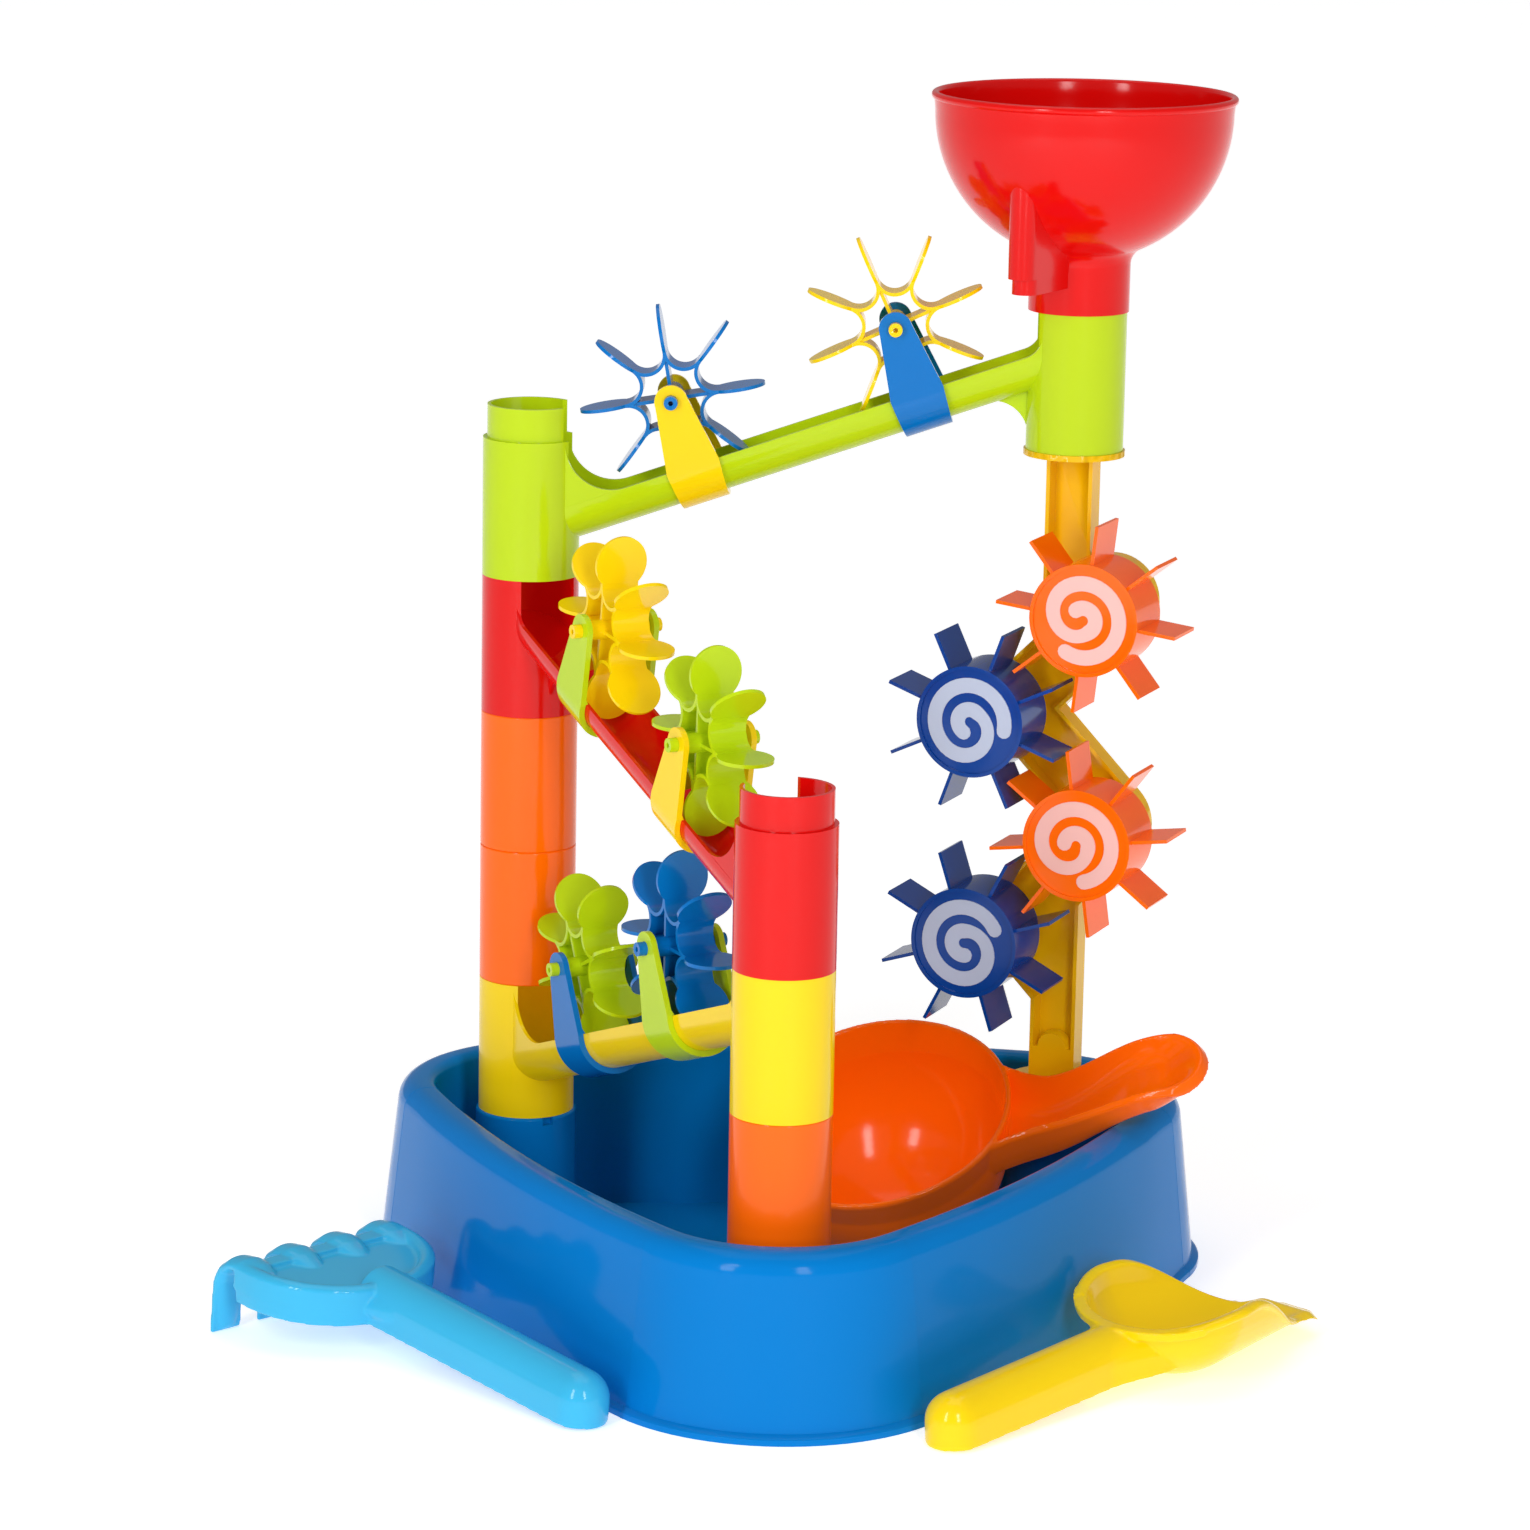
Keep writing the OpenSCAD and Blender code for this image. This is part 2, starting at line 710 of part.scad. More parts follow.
module sand_wheel(k) {
  face = drum_depth - rim_lift;
  at_wheel(k) {
    difference() {
      cylinder(r = drum_r, h = drum_depth);
      translate([0, 0, face]) cylinder(r = drum_r - drum_wall, h = rim_lift + over);
      difference() {
        translate([0, 0, -over]) cylinder(r = drum_r - drum_wall, h = face - face_t + over);
        cylinder(r = hub_out, h = drum_depth);
      }
      translate([0, 0, -over]) cylinder(r = axle_d / 2 + run_fit, h = post_len + 2 * over);
    }
    for (i = [0:paddle_count - 1]) rotate(paddle_phase[k] + i * 360 / paddle_count)
      translate([drum_r - drum_wall / 2, -paddle_t / 2, paddle_back])
        cube([paddle_tip_r - drum_r + drum_wall / 2, paddle_t, paddle_len]);
  }
}

// Spiral label: a band that runs round, winds in and ends in a small turn, with round ends
spiral_turn = 610;
wind_from = 235;
wind_over = 185;
spiral_steps = 72;
function ease(t) = (1 - cos(180 * max(0, min(1, t)))) / 2;
function spiral_r(t) = spiral_out - (spiral_out - spiral_in) * ease((t - wind_from) / wind_over);
function spiral_at(t) = spiral_r(t) * [cos(t), sin(t)];
module spiral_label(k) {
  half = spiral_w / 2;
  ts = [for (i = [0:spiral_steps]) spiral_turn * i / spiral_steps];
  at_wheel(k) translate([0, 0, drum_depth - rim_lift]) linear_extrude(label_t) rotate(label_turn[k])
    polygon(concat(
      [for (t = ts) (spiral_r(t) + half) * [cos(t), sin(t)]],
      [for (a = [30:30:150]) spiral_at(spiral_turn) + half * [cos(spiral_turn + a), sin(spiral_turn + a)]],
      [for (i = [spiral_steps:-1:0]) (spiral_r(ts[i]) - half) * [cos(ts[i]), sin(ts[i])]],
      [for (a = [210:30:330]) spiral_at(0) + half * [cos(a), sin(a)]]));
}

module sand_wheel_1() {
  color(orange) sand_wheel(0);
}

module sand_wheel_2() {
  color(drum_blue) sand_wheel(1);
}

module sand_wheel_3() {
  color(orange) sand_wheel(2);
}

module sand_wheel_4() {
  color(drum_blue) sand_wheel(3);
}

module spiral_label_1() {
  color("#ffd0cc") spiral_label(0);
}

module spiral_label_2() {
  color("#d4d8ec") spiral_label(1);
}

module spiral_label_3() {
  color("#ffd0cc") spiral_label(2);
}

module spiral_label_4() {
  color("#d4d8ec") spiral_label(3);
}

// Funnel on the upper channel's high socket, pocket towards the left column
fillet_r = neck_r + 15;
pocket_foot_h = 6.5;
pocket_step = 8;
pocket_in = 4;
module bowl_shape(r, band, neck, neck_foot) {
  intersection() {
    union() {
      translate([0, bowl_mid_h]) circle(r = r);
      translate([0, bowl_mid_h]) square([r, band]);
      translate([0, neck_foot]) square([neck, bowl_mid_h - neck_foot]);
    }
    translate([0, neck_foot]) square([2 * r, bowl_mid_h + band - neck_foot]);
  }
}

module pocket_shape(w, reach) {
  translate([-reach + w / 2, 0]) circle(d = w);
  translate([-reach + w / 2, -w / 2]) square([reach - w / 2, w]);
}

module funnel() {
  fill_z = bowl_mid_h - sqrt(bowl_r * bowl_r - fillet_r * fillet_r);
  color(red) at_column(right_at, 7) difference() {
    union() {
      rotate_extrude() {
        bowl_shape(bowl_r, bowl_band_h, neck_r, 0);
        polygon([[tube_ir, neck_h], [neck_r, neck_h], [fillet_r, fill_z], [tube_ir, fill_z]]);
        translate([bowl_r, bowl_mid_h + bowl_band_h - lip_r]) circle(r = lip_r);
      }
      translate([0, 0, pocket_foot_h + pocket_step]) linear_extrude(pocket_h - pocket_step)
        pocket_shape(pocket_w, pocket_reach);
      translate([0, 0, pocket_foot_h]) linear_extrude(pocket_step + skin)
        pocket_shape(pocket_w, pocket_reach - pocket_in);
    }
    rotate_extrude() bowl_shape(bowl_r - funnel_wall, bowl_band_h + over, tube_ir, -over);
    translate([0, 0, pocket_foot_h + pocket_step + funnel_wall]) linear_extrude(pocket_h)
      pocket_shape(pocket_w - 2 * funnel_wall, pocket_reach - funnel_wall);
  }
}

// Scoop lying in the tub: bowl on the floor, handle over the right side of the rim
scoop_gap = 0.4;
scoop_at = [49.8, 50, tub_wall + scoop_gap + scoop_bottom_r];
scoop_face = 61;
scoop_aim = -25.3;
scoop_handle_turn = 17;
handle_steps = 12;
function handle_z(x) = scoop_rise * ease((x - scoop_r) / scoop_handle);

module handle_side(low, high) {
  xs = [for (i = [0:handle_steps]) scoop_r * 0.9 + (scoop_handle + scoop_r * 0.1) * i / handle_steps];
  rotate([90, 0, 0]) translate([0, 0, -scoop_handle_w]) linear_extrude(2 * scoop_handle_w)
    polygon(concat([for (x = xs) [x, handle_z(x) + low]],
      [for (i = [handle_steps:-1:0]) [xs[i], handle_z(xs[i]) + high]]));
}

module handle_plan(d) {
  r = scoop_handle_w / 2 - d;
  translate([0, 0, -scoop_r]) linear_extrude(2 * scoop_r) {
    translate([0, -r]) square([scoop_r + scoop_handle - scoop_handle_w / 2, 2 * r]);
    translate([scoop_r + scoop_handle - scoop_handle_w / 2, 0]) circle(r = r);
  }
}

module scoop_form(d) {
  translate([0, 0, -scoop_collar]) {
    sphere(r = scoop_bottom_r - d);
    cylinder(r1 = scoop_bottom_r - d, r2 = scoop_r - d, h = scoop_collar + skin);
  }
}

module scoop_solid() {
  difference() {
    union() {
      scoop_form(0);
      intersection() {
        handle_side(-scoop_channel, 0);
        handle_plan(0);
      }
    }
    cylinder(r = scoop_r + skin, h = 2 * scoop_r);
    translate([0, 0, skin / 2]) scoop_form(scoop_wall);
    difference() {
      intersection() {
        handle_side(-scoop_channel + scoop_wall, over);
        handle_plan(scoop_wall);
      }
      scoop_form(0);
    }
  }
}

module scoop() {
  color(orange) translate(scoop_at) rotate(scoop_aim) rotate([90 - scoop_face, 0, 0])
    rotate(scoop_handle_turn) translate([0, 0, scoop_collar]) scoop_solid();
}

// Handle shared by the rake and the shovel: an open-bottomed bar with a domed end
grip_mid = grip_h - grip_w / 2;
module grip_section(r) {
  translate([-r, -over]) square([2 * r, grip_mid + over]);
  translate([0, grip_mid]) circle(r = r);
}

module grip_solid(len, d) {
  r = grip_w / 2 - d;
  translate([grip_w / 2, 0, 0]) {
    rotate([90, 0, 90]) linear_extrude(len - grip_w / 2) grip_section(r);
    rotate_extrude() intersection() {
      grip_section(r - seam_step);
      translate([0, -over]) square([grip_w, 2 * grip_h]);
    }
  }
}

module grip(len) {
  difference() {
    grip_solid(len, 0);
    grip_solid(len - tool_wall, tool_wall);
    translate([-over, -grip_w, -grip_h]) cube([len + 2 * over, 2 * grip_w, grip_h]);
  }
}

// Rake: a round-backed head with a raised border and four curled tines
tine_count = 4;
rake_head_h = 19;
rake_head_back = 63;
rake_panel_drop = 2.5;
tine_reach = 17;
row_half = tine_gap * (tine_count - 1) / 2;

module head_plan(d) {
  w = row_half + tine_w / 2 - d;
  translate([rake_len - rake_head_back + w, 0]) intersection() {
    circle(r = w);
    translate([-2 * w, -2 * w]) square([2 * w, 4 * w]);
  }
  translate([rake_len - rake_head_back + w - over, -w]) square([rake_head_back - w + over - d, 2 * w]);
}

module rake_solid() {
  head_deep = 12;
  grip(rake_len - rake_head_back + 14);
  difference() {
    translate([0, 0, rake_head_h - head_deep]) linear_extrude(head_deep) head_plan(0);
    translate([0, 0, rake_head_h - head_deep - over])
      linear_extrude(head_deep - tool_wall - rake_panel_drop + over) head_plan(tool_wall);
    translate([0, 0, rake_head_h - rake_panel_drop]) linear_extrude(2 * rake_panel_drop)
      head_plan(tine_w / 2);
  }
  for (i = [0:tine_count - 1]) translate([0, row_half - i * tine_gap, 0])
    rotate([90, 0, 0]) translate([0, 0, -tine_w / 2]) linear_extrude(tine_w) {
      difference() {
        translate([rake_len - over, rake_head_h - tine_reach]) circle(r = tine_reach);
        translate([rake_len - over, rake_head_h - tine_reach]) circle(r = tine_reach - tool_wall);
        translate([rake_len - over - 2 * tine_reach, -3 * tine_reach])
          square([2 * tine_reach, 6 * tine_reach]);
        translate([rake_len - 2 * over, -4 * tine_reach + rake_head_h - tine_reach])
          square([2 * tine_reach, 4 * tine_reach]);
      }
      translate([rake_len - over + tine_reach - tool_wall, -tine_drop])
        square([tool_wall, rake_head_h - tine_reach + tine_drop + skin]);
    }
}

rake_at = [-83, -218.6];
rake_aim = 135.1;
module rake() {
  color(rake_blue) translate([rake_at.x, rake_at.y, skin]) rotate(rake_aim) rotate([0, -rake_pitch, 0])
    rake_solid();
}

// Shovel: a round bowl drawn out into a nose
shovel_at = [76.7, -235.8];
shovel_aim = 47;
shovel_under = 11.25;
shovel_rim = 31;
back_rim = 25;
nose_fall = 22;
rim_fall = 33;
rim_steps = 20;
rim_out = 4;
rim_band = 5;
function rim_z(x) = back_rim + (shovel_rim - back_rim) * ease((x - shovel_mid) / shovel_r + 1)
  - rim_fall * ease((x - shovel_mid - 8) / (0.75 * shovel_nose));

module shovel_form(d) {
  translate([shovel_mid, 0, shovel_r - shovel_under]) {
    sphere(r = shovel_r - d);
    rotate([0, 90 + atan2(nose_fall, shovel_nose), 0])
      cylinder(r1 = shovel_r - d, r2 = shovel_nose_r - d, h = norm([nose_fall, shovel_nose]));
  }
}

// All that lies over the rim, which rises from the handle and falls in a soft curve to the nose
module over_rim() {
  start = shovel_mid - shovel_r;
  tip = shovel_mid + shovel_nose;
  rotate([90, 0, 0]) translate([0, 0, -2 * shovel_r]) linear_extrude(4 * shovel_r)
    polygon(concat([[start - shovel_r, 4 * shovel_r], [start - shovel_r, back_rim]],
      [for (i = [0:rim_steps]) let (x = start + (tip - start) * i / rim_steps) [x, rim_z(x)]],
      [[tip - tool_wall, rim_z(tip) - 2 * over], [tip - tool_wall, -2 * shovel_r],
        [tip + shovel_r, -2 * shovel_r], [tip + shovel_r, 4 * shovel_r]]));
}

module shovel_solid() {
  difference() {
    union() {
      shovel_form(0);
      intersection() {
        shovel_form(-rim_out);
        translate([0, 0, -rim_band]) over_rim();
      }
      grip(shovel_mid - shovel_r + 3 * tool_wall);
    }
    shovel_form(tool_wall);
    over_rim();
  }
}

module shovel() {
  color(yellow) translate([shovel_at.x, shovel_at.y, skin]) rotate(shovel_aim)
    rotate([0, -shovel_pitch, 0]) shovel_solid();
}

tub();
lower_channel();
middle_channel();
upper_channel();
left_lower_tube();
left_upper_tube();
front_tube();
wheel_rail();
funnel();
upper_low_clip();
upper_high_clip();
middle_low_clip();
middle_high_clip();
lower_low_clip();
lower_high_clip();
upper_low_wheel();
upper_high_wheel();
middle_low_wheel();
middle_high_wheel();
lower_low_wheel();
lower_high_wheel();
sand_wheel_1();
sand_wheel_2();
sand_wheel_3();
sand_wheel_4();
spiral_label_1();
spiral_label_2();
spiral_label_3();
spiral_label_4();
scoop();
rake();
shovel();
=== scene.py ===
"""Dresses the packed sand wheel toy: glossy moulded plastic, rounded edges and softly blended hand tools.

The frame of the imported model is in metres: +X runs from the left to the right column, -Y points to the front and
+Z is up. The funnel and the hand tools hold their sizes in millimetres, as the part's source does.
"""

import json
import logging
import math
from dataclasses import dataclass, field
from enum import Enum

import bmesh
import bpy
from mathutils import Matrix, Vector

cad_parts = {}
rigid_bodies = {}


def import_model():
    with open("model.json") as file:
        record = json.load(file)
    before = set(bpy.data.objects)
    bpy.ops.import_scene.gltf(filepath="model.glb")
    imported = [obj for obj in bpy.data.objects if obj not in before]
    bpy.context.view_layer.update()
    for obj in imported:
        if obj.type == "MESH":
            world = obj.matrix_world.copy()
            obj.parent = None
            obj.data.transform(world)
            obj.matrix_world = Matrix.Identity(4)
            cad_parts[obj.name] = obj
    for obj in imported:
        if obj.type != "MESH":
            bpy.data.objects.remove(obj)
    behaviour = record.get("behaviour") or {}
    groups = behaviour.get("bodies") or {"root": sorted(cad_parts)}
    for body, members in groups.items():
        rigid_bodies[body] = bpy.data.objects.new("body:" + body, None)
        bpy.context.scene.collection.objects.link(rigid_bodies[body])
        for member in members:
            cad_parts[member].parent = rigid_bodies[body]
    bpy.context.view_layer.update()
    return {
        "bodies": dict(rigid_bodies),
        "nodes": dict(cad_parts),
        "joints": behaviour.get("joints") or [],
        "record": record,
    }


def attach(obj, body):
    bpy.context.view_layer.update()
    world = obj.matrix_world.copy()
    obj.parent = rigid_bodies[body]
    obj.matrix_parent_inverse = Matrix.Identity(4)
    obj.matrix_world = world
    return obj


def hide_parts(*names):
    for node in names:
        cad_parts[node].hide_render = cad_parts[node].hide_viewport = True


LOG = logging.getLogger("sand_wheel_toy")
MM = 0.001
WELD = 0.02 * MM

Point = tuple[float, float, float]
Face = tuple[int, ...]
Skin = tuple[list[Vector], list[Face]]
Station = tuple[Vector, Vector, Vector]


def linear(srgb: tuple[int, int, int]) -> tuple[float, float, float, float]:
    """Turns a screen colour into the linear colour that a shader takes.

    Args:
        srgb: Red, green and blue from 0 to 255.

    Returns:
        The linear colour with full alpha.
    """
    def one(value: int) -> float:
        """Linear value of one channel."""
        v = value / 255.0
        return v / 12.92 if v <= 0.04045 else ((v + 0.055) / 1.055) ** 2.4

    return (one(srgb[0]), one(srgb[1]), one(srgb[2]), 1.0)


def soft(t: float) -> float:
    """Smooth step from 0 to 1 over the same range, flat at both ends."""
    t = min(1.0, max(0.0, t))
    return t * t * (3 - 2 * t)


def join(skins: list[Skin]) -> Skin:
    """Puts several closed skins into one list of points and faces."""
    points: list[Vector] = []
    faces: list[Face] = []
    for some, skin in skins:
        faces += [tuple(i + len(points) for i in face) for face in skin]
        points += some
    return points, faces


def tube(rings: int, around: int, looped: bool = False) -> list[Face]:
    """Lists the faces of a tube that is given ring by ring.

    Args:
        rings: Number of rings.
        around: Points on each ring.
        looped: True where the last ring meets the first, so that no end has a cap.

    Returns:
        The faces between the rings, and a cap at each open end.
    """
    faces: list[Face] = []
    for i in range(rings if looped else rings - 1):
        here, ahead = i * around, (i + 1) % rings * around
        for k in range(around):
            after = (k + 1) % around
            faces.append((here + k, here + after, ahead + after, ahead + k))
    if not looped:
        last = (rings - 1) * around
        faces += [tuple(range(around - 1, -1, -1)), tuple(range(last, last + around))]
    return faces


def shell(along: int, across: int) -> list[Face]:
    """Lists the faces of a wall that is given as its inner and then its outer sheet of points.

    Args:
        along: Fields along each sheet.
        across: Fields across each sheet.

    Returns:
        The faces of both sheets and of the border between them.
    """
    row = across + 1
    sheet = row * (along + 1)
    faces: list[Face] = []
    for i in range(along):
        for j in range(across):
            a = i * row + j
            faces.append((a, a + row, a + row + 1, a + 1))
            faces.append((a + sheet, a + 1 + sheet, a + row + 1 + sheet, a + row + sheet))
    border = (list(range(row)) + [i * row + across for i in range(1, along + 1)]
              + [along * row + j for j in range(across - 1, -1, -1)] + [i * row for i in range(along - 1, 0, -1)])
    return faces + [(a, b, b + sheet, a + sheet) for a, b in zip(border, border[1:] + border[:1])]


def turned(line: list[tuple[float, float]], rounds: int) -> list[Vector]:
    """Turns an outline of radii and heights round the Z axis, ring by ring."""
    turn = [2 * math.pi * k / rounds for k in range(rounds)]
    return [Vector((r * math.cos(t), r * math.sin(t), z)) for r, z in line for t in turn]


def sweep(stations: list[Station], sides: int = 24) -> Skin:
    """Sweeps an oval along a path and closes both ends.

    Args:
        stations: For each place its middle, its half width and its half height as vectors.
        sides: Points on each oval.

    Returns:
        The closed skin.
    """
    turn = [2 * math.pi * k / sides for k in range(sides)]
    points = [mid + wide * math.cos(a) + high * math.sin(a) for mid, wide, high in stations for a in turn]
    return points, tube(len(stations), sides)


class Sheen(Enum):
    """How a surface shines: its roughness, its clear coat and its mirror strength."""

    MIRROR = (0.10, 0.0, 0.08)
    GLOSS = (0.14, 0.06, 0.27)
    PRINT = (0.42, 0.00, 0.20)

    @property
    def roughness(self) -> float:
        """Roughness of the bare plastic."""
        return self.value[0]

    @property
    def coat(self) -> float:
        """Weight of the clear coat."""
        return self.value[1]

    @property
    def mirror(self) -> float:
        """Specular level of the bare plastic."""
        return self.value[2]


@dataclass(frozen=True)
class Finish:
    """One moulded plastic: its colour and sheen, the light in its skin, its painted glow (its own colour emitted to
    lift its shade) and the sway of its colour.
    """

    name: str
    srgb: tuple[int, int, int]
    sheen: Sheen = Sheen.GLOSS
    skin_light: float = 0.0
    # Painted light: strength of an emission of the plastic's own colour, which lifts its shaded sides.
    painted_glow: float = 0.0
    sway: float = 0.04


FINISHES: dict[str, Finish] = {finish.name: finish for finish in (
    Finish("tub_blue", (4, 120, 198), Sheen.MIRROR),
    Finish("lime", (180, 206, 16), skin_light=0.1, painted_glow=0.08),
    Finish("red", (208, 8, 6), painted_glow=0.14),
    Finish("orange", (240, 98, 2), skin_light=0.05, painted_glow=0.16),
    Finish("yellow", (238, 202, 8), skin_light=0.1, painted_glow=0.1),
    Finish("rail_yellow", (230, 182, 6), skin_light=0.1, painted_glow=0.08),
    Finish("mid_blue", (4, 112, 190)),
    Finish("deep_blue", (2, 62, 148)),
    Finish("pale_blue", (58, 178, 224), skin_light=0.05),
    Finish("label_peach", (246, 190, 184), Sheen.PRINT),
    Finish("label_pale", (186, 196, 220), Sheen.PRINT),
)}


class PlasticShop:
    """Makes one material per finish, all from the same node group of moulding marks."""

    GROUP = "moulding marks"
    CLOUD_DETAIL = 3.0
    RUB_SIZE = 60.0
    RUB_DETAIL = 5.0
    RUB_RANGE = 0.08
    RIPPLE = 0.06
    RIPPLE_DEPTH = 2 * MM
    COAT_ROUGHNESS = 0.08
    SKIN_REACH = (0.006, 0.004, 0.002)
    IOR = 1.47

    def __init__(self) -> None:
        """Builds the shared node group."""
        self.group = self._marks()
        self.made: dict[str, bpy.types.Material] = {}

    def _marks(self) -> bpy.types.ShaderNodeTree:
        """Builds the group that gives faint flow clouds, rubbed gloss and a soft ripple.

        Returns:
            The node group, with the outputs Color, Roughness and Height.
        """
        tree = bpy.data.node_groups.new(self.GROUP, "ShaderNodeTree")
        for name, kind, value in (("Tint", "NodeSocketColor", (1, 1, 1, 1)), ("Sway", "NodeSocketFloat", 0.05),
                                  ("Gloss", "NodeSocketFloat", 0.25), ("Cloud Size", "NodeSocketFloat", 9.0)):
            tree.interface.new_socket(name, in_out="INPUT", socket_type=kind).default_value = value
        for name, kind in (("Color", "NodeSocketColor"), ("Roughness", "NodeSocketFloat"),
                           ("Height", "NodeSocketFloat")):
            tree.interface.new_socket(name, in_out="OUTPUT", socket_type=kind)
        nodes, links = tree.nodes, tree.links
        into = nodes.new("NodeGroupInput")
        out = nodes.new("NodeGroupOutput")
        place = nodes.new("ShaderNodeTexCoord")
        cloud = nodes.new("ShaderNodeTexNoise")
        cloud.inputs["Detail"].default_value = self.CLOUD_DETAIL
        links.new(place.outputs["Object"], cloud.inputs["Vector"])
        links.new(into.outputs["Cloud Size"], cloud.inputs["Scale"])
        lift = nodes.new("ShaderNodeMapRange")
        lift.inputs["To Min"].default_value = -1.0
        lift.inputs["To Max"].default_value = 1.0
        links.new(cloud.outputs["Fac"], lift.inputs["Value"])
        sway = nodes.new("ShaderNodeMath")
        sway.operation = "MULTIPLY_ADD"
        sway.inputs[2].default_value = 1.0
        links.new(lift.outputs["Result"], sway.inputs[0])
        links.new(into.outputs["Sway"], sway.inputs[1])
        shade = nodes.new("ShaderNodeHueSaturation")
        links.new(into.outputs["Tint"], shade.inputs["Color"])
        links.new(sway.outputs[0], shade.inputs["Value"])
        links.new(shade.outputs["Color"], out.inputs["Color"])
        rub = nodes.new("ShaderNodeTexNoise")
        rub.inputs["Scale"].default_value = self.RUB_SIZE
        rub.inputs["Detail"].default_value = self.RUB_DETAIL
        links.new(place.outputs["Object"], rub.inputs["Vector"])
        gloss = nodes.new("ShaderNodeMath")
        gloss.operation = "MULTIPLY_ADD"
        gloss.inputs[1].default_value = self.RUB_RANGE
        links.new(rub.outputs["Fac"], gloss.inputs[0])
        links.new(into.outputs["Gloss"], gloss.inputs[2])
        links.new(gloss.outputs[0], out.inputs["Roughness"])
        links.new(cloud.outputs["Fac"], out.inputs["Height"])
        return tree

    def material(self, slot: str) -> bpy.types.Material:
        """Gives the material of a slot, made once.

        Args:
            slot: Name of the record's material slot.

        Returns:
            The dressed material.
        """
        if slot in self.made:
            return self.made[slot]
        finish = FINISHES[slot]
        material = bpy.data.materials.new(finish.name)
        material.use_nodes = True
        nodes, links = material.node_tree.nodes, material.node_tree.links
        shader = nodes["Principled BSDF"]
        marks = nodes.new("ShaderNodeGroup")
        marks.node_tree = self.group
        marks.inputs["Tint"].default_value = linear(finish.srgb)
        marks.inputs["Sway"].default_value = finish.sway
        marks.inputs["Gloss"].default_value = finish.sheen.roughness - self.RUB_RANGE / 2
        links.new(marks.outputs["Color"], shader.inputs["Base Color"])
        # Painted light: the plastic emits its own colour, a glow that lifts its shade.
        links.new(marks.outputs["Color"], shader.inputs["Emission Color"])
        links.new(marks.outputs["Roughness"], shader.inputs["Roughness"])
        shader.inputs["Emission Strength"].default_value = finish.painted_glow
        bump = nodes.new("ShaderNodeBump")
        bump.inputs["Strength"].default_value = self.RIPPLE
        bump.inputs["Distance"].default_value = self.RIPPLE_DEPTH
        links.new(marks.outputs["Height"], bump.inputs["Height"])
        links.new(bump.outputs["Normal"], shader.inputs["Normal"])
        shader.inputs["Coat Weight"].default_value = finish.sheen.coat
        shader.inputs["Specular IOR Level"].default_value = finish.sheen.mirror
        shader.inputs["Coat Roughness"].default_value = self.COAT_ROUGHNESS
        shader.inputs["Subsurface Weight"].default_value = finish.skin_light
        shader.inputs["Subsurface Radius"].default_value = self.SKIN_REACH
        shader.inputs["Subsurface Scale"].default_value = 1.0
        shader.inputs["IOR"].default_value = self.IOR
        self.made[slot] = material
        return material


@dataclass
class CadDress:
    """Dresses the CAD nodes that show as they are: a finish and rounded edges."""

    shop: PlasticShop
    edge: dict[str, float] = field(default_factory=lambda: {
        "tub": 0.8, "channel": 0.6, "rail": 0.8, "clip": 1.1, "sand_wheel": 0.5, "wheel": 0.35, "label": 0.15})
    edge_angle: float = math.radians(34)
    edge_steps: int = 2
    flat_weight: int = 70

    def width(self, node: str) -> float:
        """Edge rounding of a node, from the first kind that its name holds; tubes round off as the tub does."""
        return next(w for kind, w in self.edge.items() if kind in node) * MM

    def dress(self, node: str, obj: bpy.types.Object, slot: str) -> None:
        """Gives one node its material and its rounded edges.

        Args:
            node: Name of the node.
            obj: The node's object.
            slot: Material slot of the node.
        """
        obj.data.materials.clear()
        obj.data.materials.append(self.shop.material(slot))
        weld = obj.modifiers.new("weld", "WELD")
        weld.merge_threshold = WELD
        bevel = obj.modifiers.new("moulded edge", "BEVEL")
        bevel.width = self.width(node)
        bevel.segments = self.edge_steps
        bevel.limit_method = "ANGLE"
        bevel.angle_limit = self.edge_angle
        bevel.use_clamp_overlap = True
        flat = obj.modifiers.new("flat faces", "WEIGHTED_NORMAL")
        flat.weight = self.flat_weight
        LOG.info("dressed %s in %s", node, slot)


